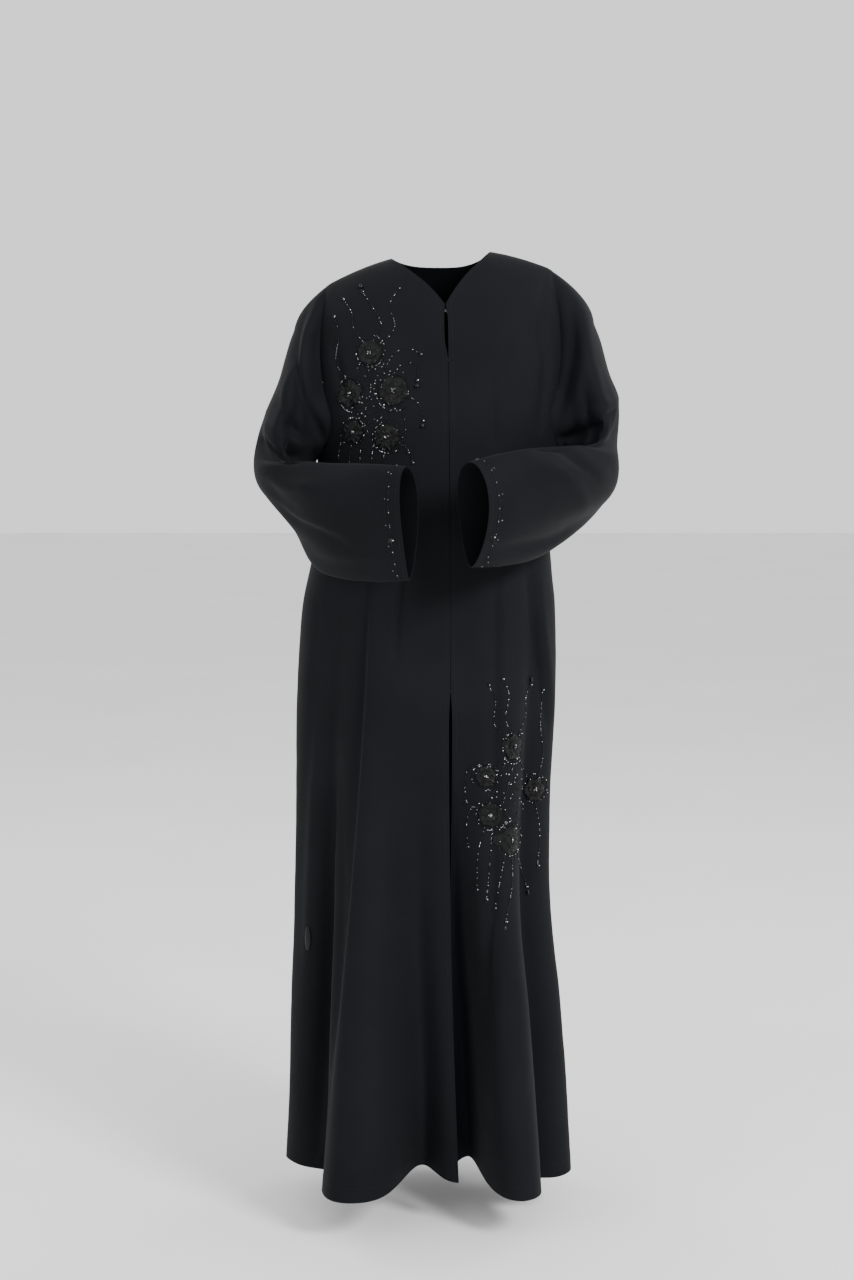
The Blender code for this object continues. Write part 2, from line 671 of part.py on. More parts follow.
def wire(name, points, material):
    curve = bpy.data.curves.new(name, "CURVE")
    curve.dimensions = "3D"
    curve.bevel_depth = WIRE
    curve.bevel_resolution = 1
    curve.use_fill_caps = True
    line = curve.splines.new("POLY")
    line.points.add(len(points) - 1)
    for point, place in zip(line.points, points):
        point.co = (*place, 1)
    curve.materials.append(material)
    obj = bpy.data.objects.new(name, curve)
    bpy.data.collections["abaya_cloak"].objects.link(obj)
    return obj


def build_fastener(number, z, material):
    """A bent wire hook inside the right front's edge and a wire eye inside the left front's."""
    right = body_point(angle_at_x(front_edge(z, -1), z), z, "right")
    left = body_point(angle_at_x(front_edge(z, 1), z), z, "left")
    middle = (right + left) / 2
    down = body_point(angle_at_x(middle.x, z - 0.01), z - 0.01, "right") - body_point(
        angle_at_x(middle.x, z + 0.01), z + 0.01, "right"
    )
    down.x = 0
    down.normalize()
    inward = Vector((0, -down.z, down.y))
    if inward.y < 0:
        inward = -inward
    hook_depth = CLOTH + HOOK_STAND + WIRE
    eye_depth = hook_depth + 2 * WIRE + EYE_STAND

    def place(x, along, depth):
        return middle + Vector((x, 0, 0)) - down * along + inward * depth

    hook = ((-6, 1.6), (-2, 1.6), (1.2, 0.8), (1.9, 0), (1.2, -0.8), (-2, -1.6), (-6, -1.6))
    eye = ((6, 2.2), (2.5, 2.2), (0.2, 1.3), (-0.4, 0), (0.2, -1.3), (2.5, -2.2), (6, -2.2))
    wire(f"hook_{number}", [place(a / 1000, b / 1000, hook_depth) for a, b in hook], material)
    wire(f"eye_{number}", [place(a / 1000, b / 1000, eye_depth) for a, b in eye], material)


def build_plate(surface, material):
    """A small plain metal plate with rounded ends, on the cloth near the right side seam."""
    spot, across, up, out = frame_on(surface, PLATE_X, PLATE_Z)
    bm = bmesh.new()
    size = Matrix.Diagonal((PLATE_WIDTH, PLATE_HEIGHT, PLATE_THICKNESS, 1))
    bmesh.ops.create_cube(bm, size=1, matrix=size)
    upright = [e for e in bm.edges if abs(e.verts[0].co.z - e.verts[1].co.z) > PLATE_THICKNESS / 2]
    bmesh.ops.bevel(bm, geom=upright, offset=PLATE_CORNER, segments=3, profile=0.5, affect="EDGES")
    front = [f for f in bm.faces if all(v.co.z > 0 for v in f.verts)]
    rim = [e for f in front for e in f.edges]
    bmesh.ops.bevel(bm, geom=rim, offset=PLATE_THICKNESS * 0.4, segments=1, affect="EDGES")
    centre = spot + out * (PLATE_STAND + PLATE_THICKNESS / 2)
    placed = Matrix([(across[k], up[k], out[k], centre[k]) for k in range(3)] + [(0, 0, 0, 1)])
    bmesh.ops.transform(bm, matrix=placed, verts=bm.verts)
    mesh = bpy.data.meshes.new("side_plate")
    bm.to_mesh(mesh)
    bm.free()
    return put("side_plate", mesh, material)


def clear_scene():
    for obj in list(bpy.data.objects):
        bpy.data.objects.remove(obj)


def main():
    clear_scene()
    collection = bpy.data.collections.new("abaya_cloak")
    bpy.context.scene.collection.children.link(collection)
    crepe = {
        name: make_material(name, (0.012, 0.0135, 0.016), 0.72, sheen=0.25)
        for name in (piece + "_crepe" for piece in CLOTH_PIECES)
    }
    fronts = {
        "front_right": build_front(-1, crepe["front_right_crepe"]),
        "front_left": build_front(1, crepe["front_left_crepe"]),
    }
    build_back(crepe["back_crepe"])
    build_sleeve(-1, crepe["sleeve_right_crepe"])
    build_sleeve(1, crepe["sleeve_left_crepe"])

    surfaces = {name: surface_of(obj) for name, obj in fronts.items()}
    petals = make_material("dark_organza", (0.055, 0.06, 0.052), 0.42, sheen=0.4)
    jet = make_material("jet_bead", (0.02, 0.02, 0.022), 0.12)
    steel = make_material("fastener_wire", (0.62, 0.62, 0.64), 0.3, metallic=1.0)
    dark_metal = make_material("dark_plate", (0.16, 0.16, 0.17), 0.18, metallic=1.0)
    for panel, number, x, z, diameter, turn in FLOWERS:
        build_flower(panel, number, x, z, diameter, turn, surfaces[panel], petals)
    for panel, number, x, z, turn in DROPS:
        build_drop(panel, number, x, z, turn, surfaces[panel], jet)
    for number, z in FASTENERS:
        build_fastener(number, z, steel)
    build_plate(surfaces["front_right"], dark_metal)


main()
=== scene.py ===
"""Looks of the open-front abaya cloak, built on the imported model.

Metres, +Z up. The cloak's front faces -Y and its left side is +X. Angles round the body run in
degrees from the centre front (0) over the left side (90) to the centre back (180).
"""

import json
import math

import bmesh
import bpy
import numpy as np
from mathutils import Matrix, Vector, noise
from mathutils.bvhtree import BVHTree

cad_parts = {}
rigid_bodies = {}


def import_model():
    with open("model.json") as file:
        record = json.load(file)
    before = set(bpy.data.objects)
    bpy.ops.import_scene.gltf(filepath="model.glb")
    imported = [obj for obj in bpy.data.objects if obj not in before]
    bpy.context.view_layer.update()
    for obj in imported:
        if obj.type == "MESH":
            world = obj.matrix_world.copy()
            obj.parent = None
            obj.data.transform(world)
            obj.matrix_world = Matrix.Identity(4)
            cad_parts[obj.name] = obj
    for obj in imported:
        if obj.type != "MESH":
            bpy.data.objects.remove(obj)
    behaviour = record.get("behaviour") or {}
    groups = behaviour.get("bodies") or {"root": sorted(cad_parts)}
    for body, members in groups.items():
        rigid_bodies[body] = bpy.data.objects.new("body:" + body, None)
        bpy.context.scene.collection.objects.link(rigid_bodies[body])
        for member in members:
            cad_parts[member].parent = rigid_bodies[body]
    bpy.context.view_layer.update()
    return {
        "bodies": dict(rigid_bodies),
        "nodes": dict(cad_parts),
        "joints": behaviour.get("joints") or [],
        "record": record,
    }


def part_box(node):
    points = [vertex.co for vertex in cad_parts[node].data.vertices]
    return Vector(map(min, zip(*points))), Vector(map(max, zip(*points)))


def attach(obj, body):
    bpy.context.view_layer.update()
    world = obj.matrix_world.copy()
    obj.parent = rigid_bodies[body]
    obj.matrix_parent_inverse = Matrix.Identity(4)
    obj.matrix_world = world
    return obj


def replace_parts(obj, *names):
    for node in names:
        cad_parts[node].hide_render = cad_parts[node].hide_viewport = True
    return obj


# The camera's place, its tilt down in degrees, its focal length and picture in the photo's pixels.
CAMERA_AT = (-0.02, -3.6, -0.15)
CAMERA_TILT = 6.7
FOCAL_PX = 2441
PHOTO_SIZE = (854, 1280)

# Lights: name, place, height that it points at, size, power.
LIGHTS = (
    ("key", (2.4, -3.0, 1.6), -0.6, 1.3, 240),
    ("fill", (-2.6, -2.6, 0.6), -0.7, 2.2, 40),
    ("back_left", (-2.4, 2.2, 1.4), -0.6, 1.6, 30),
    ("back_right", (2.4, 2.2, 1.4), -0.6, 1.6, 30),
)
WORLD_STRENGTH = 1.25
FLOOR_Z = -1.440
FLOOR_REACH = 14

# The shells' thickness, the gap at the panels' seams, and the gap that shows round an armhole.
CLOTH = 0.0012
SEAM_GAP = 0.0004
SEEN_GAP = 0.00012

# The body's form: its levels, the shoulder line's curve, the rings' squareness and the neckline.
HEM_Z = -1.373
UNDERARM_Z = -0.300
SHOULDER_Y = 0.008
SHOULDER_DROP = 1.47
SHOULDER_TILT = 0.066
SHOULDER_ROUND = 0.14
SHOULDER_TIP_Z = -0.04
SIDE_RADIUS = 0.18
SQUARENESS = 2.25
FORWARD_SHARE = 0.25
TURNING_SHARE = 0.65
NECK_SIDE_X = 0.072
NECK_APEX_Z = -0.080
NECK_BACK_Z = -0.024
NECK_BACK_CURVE = 3.0
NECK_END = 0.42
NECKLINE_BOW = 0.10

# How rows and columns crowd towards their start, and the row from which a panel takes its hem's shape.
FRONT_ROW_SPREAD = 1.22
BACK_ROW_SPREAD = 1.12
FRONT_COLUMN_SPREAD = 1.2
SLEEVE_ROW_SPREAD = 1.15
HEM_SHAPED_FROM = 1.3

# The cut of each piece, measured along its cloth: width, length, area. A sleeve's is all round.
CUTS = {
    "front_right": (0.51, 1.45, 0.43),
    "front_left": (0.44, 1.44, 0.36),
    "back": (0.87, 1.41, 0.80),
    "sleeve_right": (0.64, 0.64, 0.19),
    "sleeve_left": (0.68, 0.64, 0.19),
}

# How many faces each grid has.
FRONT_COLUMNS = 140
BACK_COLUMNS = 150
ARMHOLE_ROWS = 96
SKIRT_ROWS = 200
SLEEVE_COLUMNS = 144
SLEEVE_ROWS = 120

# Level rings of the body: height, centre x, half width, front depth, back depth.
BODY_RINGS = (
    (0.030, 0.000, 0.160, 0.095, 0.080),
    (-0.050, 0.000, 0.180, 0.104, 0.098),
    (-0.150, 0.000, 0.194, 0.120, 0.116),
    (-0.240, 0.000, 0.190, 0.132, 0.122),
    (-0.300, 0.000, 0.182, 0.134, 0.120),
    (-0.380, -0.008, 0.168, 0.131, 0.118),
    (-0.460, -0.014, 0.178, 0.129, 0.126),
    (-0.520, -0.017, 0.187, 0.129, 0.140),
    (-0.660, -0.021, 0.190, 0.132, 0.156),
    (-0.810, -0.025, 0.185, 0.138, 0.164),
    (-0.960, -0.026, 0.184, 0.146, 0.172),
    (-1.115, -0.021, 0.192, 0.154, 0.182),
    (-1.270, -0.017, 0.197, 0.162, 0.192),
    (-1.400, -0.017, 0.202, 0.168, 0.198),
)

# The armhole's edge: place down the armhole, angle in at the front, angle in at the back.
ARMHOLE_INSETS = (
    (0.00, 26, 26),
    (0.32, 27, 26),
    (0.57, 32, 28),
    (0.70, 36, 29),
    (0.86, 25, 20),
    (1.00, 0, 0),
)

# The line where the two fronts meet: height, x, gap between the edges. Where the gap is
# negative, the left edge passes behind the right one.
FRONT_EDGE = (
    (-0.080, 0.006, 0.0010),
    (-0.100, 0.007, 0.0050),
    (-0.135, 0.008, 0.0046),
    (-0.155, 0.010, 0.0010),
    (-0.300, 0.012, 0.0008),
    (-0.630, 0.014, 0.0008),
    (-0.670, 0.014, 0.0042),
    (-0.780, 0.014, 0.0036),
    (-0.900, 0.014, 0.0012),
    (-1.100, 0.0155, -0.0040),
    (-1.400, 0.0240, -0.0080),
)

# Folds down the body: panel, angle at its start, angle at the hem, width before, width after,
# start z, height at the hem, growth.
BODY_FOLDS = (
    ("right", -20, -35, 11, 17, -0.36, 0.050, 0.9),
    ("right", -4, -3.5, 10, 8, -0.66, -0.066, 1.2),
    ("right", 10, 14, 22, 22, -0.66, -0.055, 1.2),
    ("left", 10, 17, 30, 9, -0.66, -0.125, 1.2),
    ("left", 33, 37, 11, 14, -0.40, 0.047, 0.9),
    ("all", -42, -58, 9, 8, -0.36, -0.040, 0.9),
    ("all", -84, -86, 13, 14, -0.50, 0.018, 1.0),
    ("all", 50, 57, 8, 7, -0.40, -0.036, 0.9),
    ("all", 76, 79, 11, 12, -0.50, 0.016, 1.0),
    ("all", 98, 101, 8, 8, -0.45, -0.030, 1.0),
    ("all", 116, 120, 11, 10, -0.35, 0.028, 1.0),
    ("all", 135, 141, 9, 9, -0.30, -0.034, 1.0),
    ("all", 156, 162, 11, 10, -0.30, 0.030, 1.0),
    ("all", 178, 182, 9, 9, -0.35, -0.036, 1.0),
    ("all", 200, 203, 10, 11, -0.30, 0.028, 1.0),
    ("all", 221, 224, 9, 9, -0.30, -0.034, 1.0),
    ("all", 241, 243, 10, 9, -0.35, 0.026, 1.0),
    ("all", 259, 258, 8, 8, -0.45, -0.030, 1.0),
)

# Where the hem hangs above (or below) its level: panel, angle, width in angle, rise.
HEM_RISES = (
    ("all", -80, 22, 0.013),
    ("right", -4, 10, 0.018),
    ("left", 17, 7, 0.020),
    ("all", 66, 16, -0.004),
    ("back", 182, 14, 0.006),
    ("back", 140, 12, 0.004),
    ("back", 224, 12, 0.004),
)

# Sections of each sleeve, in mm: points on the arm's outer line, its front, its inner side and its back.
RIGHT_SLEEVE = (
    ((-211, 3, -110), (-192, -82, -188), (-188, -4, -326), (-204, 86, -195)),
    ((-239, 0, -195), (-216, -94, -240), (-191, -8, -340), (-222, 86, -255)),
    ((-265, -6, -262), (-228, -102, -278), (-192, -14, -352), (-232, 70, -315)),
    ((-274, -24, -315), (-222, -118, -300), (-188, -26, -370), (-234, 40, -372)),
    ((-260, -66, -342), (-204, -138, -304), (-186, -64, -380), (-208, 0, -402)),
    ((-218, -124, -366), (-172, -166, -303), (-156, -112, -392), (-184, -70, -456)),
    ((-168, -182, -388), (-130, -200, -302), (-112, -156, -386), (-140, -140, -470)),
    ((-108, -230, -386), (-88, -226, -302), (-70, -188, -384), (-88, -200, -468)),
    ((-56, -264, -384), (-48, -244, -304), (-32, -214, -384), (-44, -236, -462)),
)
LEFT_SLEEVE = (
    ((220, 3, -100), (196, -82, -184), (194, -4, -326), (206, 86, -192)),
    ((247, 0, -180), (218, -94, -232), (200, -8, -340), (224, 86, -250)),
    ((262, -6, -226), (230, -102, -262), (202, -14, -352), (236, 70, -310)),
    ((258, -24, -285), (226, -118, -276), (200, -26, -366), (238, 40, -360)),
    ((256, -66, -332), (206, -138, -280), (184, -64, -370), (216, -2, -391)),
    ((222, -124, -350), (172, -166, -280), (152, -112, -370), (176, -66, -422)),
    ((166, -182, -364), (126, -204, -281), (108, -156, -366), (128, -142, -442)),
    ((112, -230, -374), (82, -230, -287), (68, -184, -370), (82, -200, -446)),
    ((64, -266, -380), (40, -244, -298), (24, -206, -376), (40, -236, -444)),
)
SLEEVE_STATIONS = (0.0, 0.7, 1.7, 2.5, 3.2, 4.0, 5.0, 6.2, 7.2, 8.0)
SLEEVE_PINCH = (0.0, 0.0, 0.05, 0.10, 0.20, 0.30, 0.38, 0.42, 0.42)

# Folds on the sleeves: sleeve, station and turn where it starts, station and turn where it ends,
# width in turn, height. The turn is in degrees from the outer line (0) over the front (90).
SLEEVE_FOLDS = (
    ("right", 0.0, 0, 0.8, 0, 40, 0.005),
    ("left", 0.0, 0, 0.8, 0, 40, 0.008),
    ("both", 0.6, 60, 3.6, 100, 16, 0.007),
    ("both", 0.8, 95, 4.0, 128, 14, -0.010),
    ("right", 2.2, 20, 4.4, 75, 15, -0.008),
    ("right", 3.4, -50, 7.5, -35, 22, -0.008),
    ("right", 4.2, 20, 7.4, 42, 18, 0.006),
    ("left", 2.4, 10, 4.6, 80, 15, -0.008),
    ("left", 3.6, -40, 7.5, -30, 20, -0.008),
    ("left", 4.4, 25, 7.4, 45, 18, 0.006),
    ("right", 1.2, 190, 3.8, 215, 13, -0.005),
    ("right", 2.6, 235, 4.6, 262, 12, -0.006),
    ("right", 4.6, 250, 7.2, 268, 14, -0.004),
    ("left", 1.2, 188, 3.8, 212, 13, -0.005),
    ("left", 2.6, 232, 4.6, 258, 12, -0.006),
    ("left", 4.6, 246, 7.2, 262, 14, -0.004),
)

# Creases of each piece seen from the front, along lines of places in the photo's frame: height in
# mm (a valley is negative), how far it fades in pixels on the line's left and on its right (for a
# line that runs down; below and above for one that runs to the right), places.
SEEN_CREASES = {
    "sleeve_right": (
        (-8.0, 6, 5, ((309, 305), (297, 330), (294, 355), (298, 377), (312, 417), (330, 447))),
        (3.5, 7, 7, ((298, 306), (284, 335), (279, 360), (284, 385), (298, 420))),
        (-4.0, 4, 4, ((321, 330), (318, 352), (323, 378), (333, 404))),
        (-9.0, 8, 4, ((256, 434), (268, 447), (284, 455), (300, 457))),
        (4.5, 6, 6, ((262, 422), (284, 438), (308, 445), (332, 444))),
        (-5.0, 5, 5, ((276, 402), (290, 425), (312, 444))),
        (4.0, 7, 7, ((262, 472), (286, 486), (318, 486))),
        (-7.0, 8, 4, ((270, 503), (292, 521), (309, 529), (341, 541))),
        (3.4, 7, 7, ((290, 538), (312, 548), (345, 556), (385, 558))),
        (-3.0, 6, 6, ((268, 480), (280, 500), (296, 512))),
    ),
    "sleeve_left": (
        (-7.0, 7, 7, ((572, 301), (571, 360), (556, 405), (541, 443))),
        (3.5, 7, 7, ((585, 312), (586, 360), (572, 408), (555, 436))),
        (-4.0, 4, 4, ((556, 318), (560, 352), (552, 396), (545, 420))),
        (-10.0, 4, 8, ((619, 409), (592, 427), (560, 440), (541, 447))),
        (4.2, 6, 6, ((612, 400), (590, 413), (566, 428))),
        (-6.0, 6, 4, ((556, 446), (573, 456), (597, 477))),
        (4.2, 7, 7, ((530, 462), (556, 470), (578, 488), (586, 508))),
        (-5.0, 6, 6, ((574, 528), (552, 540), (522, 546), (498, 549))),
    ),
    "front_right": (
        (-4.4, 4, 4, ((401, 575), (399, 600), (395, 656))),
        (-4.0, 5, 5, ((334, 345), (340, 378), (352, 412))),
        (-13.0, 15, 5, ((366, 580), (357, 728), (341, 920), (319, 1148))),
        (1.4, 7, 12, ((377, 580), (368, 728), (352, 920), (330, 1148))),
        (-3.6, 6, 6, ((318, 600), (312, 700), (303, 820), (298, 960))),
    ),
    "front_left": (
        (-4.0, 5, 5, ((545, 285), (541, 330), (546, 366), (540, 430))),
        (-2.6, 5, 5, ((494, 388), (493, 445))),
        (-5.0, 8, 5, ((495, 572), (495, 700), (493, 895), (487, 956), (486, 1124))),
        (2.6, 4, 8, ((506, 572), (506, 700), (504, 895), (500, 1040))),
        (-4.4, 4, 4, ((529, 577), (536, 656), (547, 728))),
        (2.8, 5, 5, ((539, 577), (546, 650), (555, 716))),
    ),
}

# Creases on the sides and back: height in mm, how far it fades on either side, angles and heights.
BODY_CREASES = (
    (-5.0, 5, 5, ((128, -0.110), (118, -0.180), (106, -0.250), (99, -0.292))),
    (-5.0, 5, 5, ((232, -0.105), (242, -0.175), (253, -0.245), (262, -0.290))),
    (3.6, 6, 6, ((140, -0.130), (128, -0.200), (114, -0.270))),
    (3.6, 6, 6, ((220, -0.130), (231, -0.200), (245, -0.265))),
    (-3.4, 5, 5, ((160, -0.330), (172, -0.348), (188, -0.345), (200, -0.330))),
    (-2.8, 4, 4, ((150, -0.395), (168, -0.412), (190, -0.405))),
    (-4.0, 3, 5, ((124, -0.420), (126, -0.620), (130, -0.820))),
    (-4.0, 5, 3, ((236, -0.400), (234, -0.600), (231, -0.800))),
    (-3.0, 4, 4, ((190, -0.480), (189, -0.650), (187, -0.840))),
)

# Seen creases fade out where the cosine of the cloth's turn to the camera is under the first. On the
# sides and back a crease's width is in degrees, and a metre of height counts as so many of them.
FACING_SHARE = 0.35
DEGREES_A_METRE = 200

# Slight waves of the cloth: height, how many to a metre.
WAVES = ((0.0007, 11), (0.00025, 38))

# Beaded tendrils of each spray as lines of places (x, z) seen from the front, in mm.
TENDRILS = {
    "right": (
        ((-100, -140), (-85, -112), (-98, -84), (-113, -62)),
        ((-106, -140), (-124, -116), (-128, -92), (-141, -72)),
        ((-90, -140), (-66, -114), (-73, -82), (-60, -58)),
        ((-126, -194), (-150, -164), (-146, -124), (-154, -96)),
        ((-72, -186), (-54, -164), (-36, -168), (-34, -190)),
        ((-58, -212), (-40, -214), (-28, -228), (-26, -246)),
        ((-84, -180), (-66, -150), (-44, -144), (-28, -152)),
        ((-66, -276), (-48, -284), (-40, -306)),
        ((-60, -222), (-50, -250), (-52, -276), (-46, -292)),
        ((-142, -272), (-147, -300), (-143, -330)),
        ((-128, -276), (-131, -306), (-127, -338)),
        ((-112, -272), (-116, -304), (-113, -332)),
        ((-96, -278), (-99, -308), (-95, -336)),
        ((-80, -286), (-83, -312), (-79, -330)),
        ((-104, -166), (-100, -200), (-110, -236), (-122, -252)),
        ((-98, -168), (-90, -214), (-84, -252)),
    ),
    "left": (
        ((104, -700), (93, -672), (98, -640), (89, -614)),
        ((112, -700), (123, -672), (123, -648), (130, -629)),
        ((96, -704), (77, -680), (79, -648), (68, -624)),
        ((142, -772), (150, -736), (146, -690), (149, -640)),
        ((58, -750), (41, -744), (35, -768), (37, -796)),
        ((60, -806), (45, -802), (38, -828), (40, -862)),
        ((110, -866), (117, -900), (127, -932)),
        ((102, -868), (103, -914), (93, -967)),
        ((94, -862), (86, -905), (79, -947)),
        ((74, -828), (71, -880), (66, -936)),
        ((64, -826), (54, -870), (53, -922)),
        ((138, -802), (146, -850), (143, -902)),
        ((106, -732), (98, -766), (88, -800), (84, -812)),
        ((112, -732), (122, -758), (130, -772)),
        ((94, -812), (104, -826), (106, -834)),
    ),
}
BEAD_SPACING = 0.0021
SPRAY_SEEDS = {"right": 7, "left": 11}

# The thick of the loose beads in each spray: centre x, centre z, half width, half height.
BEAD_FIELDS = {"right": (-0.098, -0.210, 0.036, 0.052), "left": (0.098, -0.785, 0.032, 0.056)}
FIELD_BEADS = 170
SEED_RADIUS = 0.00075
END_RADIUS = 0.0017

# Beads at each flower: over its middle, in a spiral round it (its turn in radians, the rest as shares
# of the flower's size), and loose beside it. Every fourth one is bright, but for the spiral's.
CENTRE_BEADS = 26
CENTRE_REACH = 0.20
CENTRE_LIFT = 0.0046
SPIRAL_RADIUS = 1.25
SPIRAL_TURN = 4.2
SPIRAL_START = 1.10
SPIRAL_GROWTH = 0.07
LOOSE_BEADS = 30
BRIGHT_EVERY = 4

# Bead rows round each cuff: distance inside its edge, spacing. Each cuff's cluster of beads lies
# where the photo shows it, in the photo's pixels.
CUFF_BEAD_ROWS = ((0.015, 0.0030), (0.019, 0.0062))
CUFF_CLUSTERS = {"right": (392, 541), "left": (493, 538)}
CLUSTER_SPREAD = 0.0028

# Half the side plate's width, height and depth.
PLATE_HALVES = (0.0055, 0.0185, 0.0012)

# Flowers: side, number, turn, petals, share of the petals' length to their width.
FLOWER_LOOKS = (
    ("right", 1, 10, 5, 1.0),
    ("right", 2, 50, 5, 1.1),
    ("right", 3, 25, 6, 1.35),
    ("right", 4, 70, 5, 1.0),
    ("right", 5, 5, 5, 1.15),
    ("left", 1, 15, 5, 1.1),
    ("left", 2, 40, 5, 1.0),
    ("left", 3, 60, 6, 1.3),
    ("left", 4, 0, 5, 1.0),
    ("left", 5, 30, 5, 1.15),
)

# A petal's grid, its form as shares of its length, and its relief in metres.
PETAL_ROWS = 12
PETAL_COLUMNS = 25
PETAL_HALF_WIDTH = 0.62
PETAL_ROOT = 0.08
PETAL_ROOT_WIDTH = 0.16
PETAL_WIDEST_AT = 0.62
PETAL_TIP = 0.40
PETAL_SHOULDERS = 0.24
PETAL_THICKNESS = 0.00025
PETAL_CUP = 0.0021
PETAL_RIB = 0.00022
PETAL_RUFFLE = 0.0011
PETAL_STAGGER = 0.0005

# A flower's two layers: petals fewer than stated, share of its size, turn, lift off the cloth.
PETAL_LAYERS = ((0, 1.0, 0, 0.0009), (1, 0.60, 37, 0.0020))

# Beside a seam the cloth sinks a little, and creases fade out towards it.
SEAM_SINK = 0.0007
SEAM_WIDTH = 0.004
CREASE_FADE = 0.020

# Topstitching runs this far inside an edge, and this far above the hem.
EDGE_STITCH = 0.006
HEM_STITCH = 0.022
STITCH_LENGTH = 0.0024
STITCH_PITCH = 0.0036
STITCH_RADIUS = 0.00022

# A stitch's sides and its rings: place along it, share of its radius.
STITCH_SIDES = 6
STITCH_RINGS = ((-0.5, 0.5), (-0.3, 1.0), (0.3, 1.0), (0.5, 0.5))


def smooth(t):
    t = np.clip(t, 0.0, 1.0)
    return t * t * (3 - 2 * t)


def spline(keys, values, at):
    """A smooth curve through values (numbers or points) at rising keys, read at many places."""
    keys, values = np.asarray(keys, float), np.asarray(values, float)
    at = np.clip(np.asarray(at, float), keys[0], keys[-1])
    i = np.clip(np.searchsorted(keys, at, side="left") - 1, 0, len(keys) - 2)
    low = np.maximum(np.arange(len(keys)) - 1, 0)
    high = np.minimum(np.arange(len(keys)) + 1, len(keys) - 1)
    tail = (1,) * (values.ndim - 1)
    slopes = (values[high] - values[low]) / (keys[high] - keys[low]).reshape((-1,) + tail)
    span = (keys[i + 1] - keys[i]).reshape(at.shape + tail)
    t = (at - keys[i]).reshape(at.shape + tail) / span
    bend = t * (1 - t) * span * ((1 - t) * slopes[i] - t * slopes[i + 1])
    return values[i] + (values[i + 1] - values[i]) * t * t * (3 - 2 * t) + bend


def read_table(table, z, column):
    return spline([-row[0] for row in table], [row[column] for row in table], -np.asarray(z, float))


def shoulder_line(x):
    return SHOULDER_TILT * x - SHOULDER_DROP * x * x


def ring_point(angle, z):
    """x and y on the body's smooth form, drawn in towards the shoulder line."""
    centre, half_width, front, back = (read_table(BODY_RINGS, z, k) for k in (1, 2, 3, 4))
    s, c = np.sin(np.radians(angle)), np.cos(np.radians(angle))
    reach = (np.abs(s) ** SQUARENESS + np.abs(c) ** SQUARENESS) ** (-1 / SQUARENESS)
    x = centre + half_width * reach * s
    below = np.clip((shoulder_line(x) - z) / SHOULDER_ROUND, 0.0, 1.0)
    fullness = np.sqrt(1 - (1 - below) ** 2)
    return x, SHOULDER_Y - np.where(c > 0, front, back) * reach * c * fullness


def turned(angle, centre):
    """The angle from a centre, from -180 to 180."""
    return (angle - centre + 180) % 360 - 180


def fold_height(angle, z, panel):
    total = np.zeros(np.broadcast(angle, z).shape)
    for owner, start, hem, before, after, top, height, growth in BODY_FOLDS:
        if owner in ("all", panel):
            down = np.maximum((top - z) / (top - HEM_Z), 0.0)
            off = turned(angle, start + (hem - start) * np.minimum(down, 1.0))
            width = np.where(off > 0, after, before)
            total = total + height * down**growth * np.exp(-((off / width) ** 2))
    return total


def body_point(angle, z, panel):
    """Points on a panel, with its folds raised out of the smooth form."""
    angle, z = np.broadcast_arrays(np.asarray(angle, float), np.asarray(z, float))
    x, y = ring_point(angle, z)
    half_width, depth = read_table(BODY_RINGS, z, 2), read_table(BODY_RINGS, z, 3)
    s, c = np.sin(np.radians(angle)), np.cos(np.radians(angle))
    sideways = s / half_width * np.where(c > 0, smooth((np.abs(s) - FORWARD_SHARE) / TURNING_SHARE), 1.0)
    forward = -c / depth
    out = np.stack([sideways, forward, np.zeros_like(x)], axis=-1)
    out /= np.linalg.norm(out, axis=-1, keepdims=True)
    return np.stack([x, y, z], axis=-1) + out * fold_height(angle, z, panel)[..., None]


def angle_at_x(x, z):
    """The angle on the front at which the body's form has this x, found by halving."""
    x, z = np.broadcast_arrays(np.asarray(x, float), np.asarray(z, float))
    low, high = np.full(x.shape, -85.0), np.full(x.shape, 85.0)
    for _ in range(40):
        middle = (low + high) / 2
        under = ring_point(middle, z)[0] < x
        low, high = np.where(under, middle, low), np.where(under, high, middle)
    return (low + high) / 2


def on_shoulder(angle, z):
    """The height of the shoulder line at an angle, from a first guess."""
    for _ in range(8):
        z = shoulder_line(ring_point(angle, z)[0])
    return z


def outer_edge(v, side, back):
    """Angle and height of a panel's outer edge: the armhole for v up to 1, then the side seam to 2."""
    v = np.asarray(v, float)
    shoulder = on_shoulder(side * (90 - ARMHOLE_INSETS[0][1]), SHOULDER_TIP_Z)
    inset = math.degrees(SEAM_GAP / 2 / SIDE_RADIUS)
    along = spline([row[0] for row in ARMHOLE_INSETS], [row[2 if back else 1] for row in ARMHOLE_INSETS], v)
    inset = inset + np.where(v <= 1, along, 0.0)
    armhole_z = shoulder + (UNDERARM_Z - shoulder) * (1 - np.cos(math.pi * np.minimum(v, 1))) / 2
    z = np.where(v <= 1, armhole_z, UNDERARM_Z + (HEM_Z - UNDERARM_Z) * (v - 1))
    return side * (90 + inset if back else 90 - inset), z


def front_edge(z, side):
    return read_table(FRONT_EDGE, z, 1) + side * read_table(FRONT_EDGE, z, 2) / 2


def hem_rise(angle, panel):
    total = 0.0
    for owner, centre, width, rise in HEM_RISES:
        if owner in ("all", panel):
            total = total + rise * np.exp(-((turned(angle, centre) / width) ** 2))
    return total


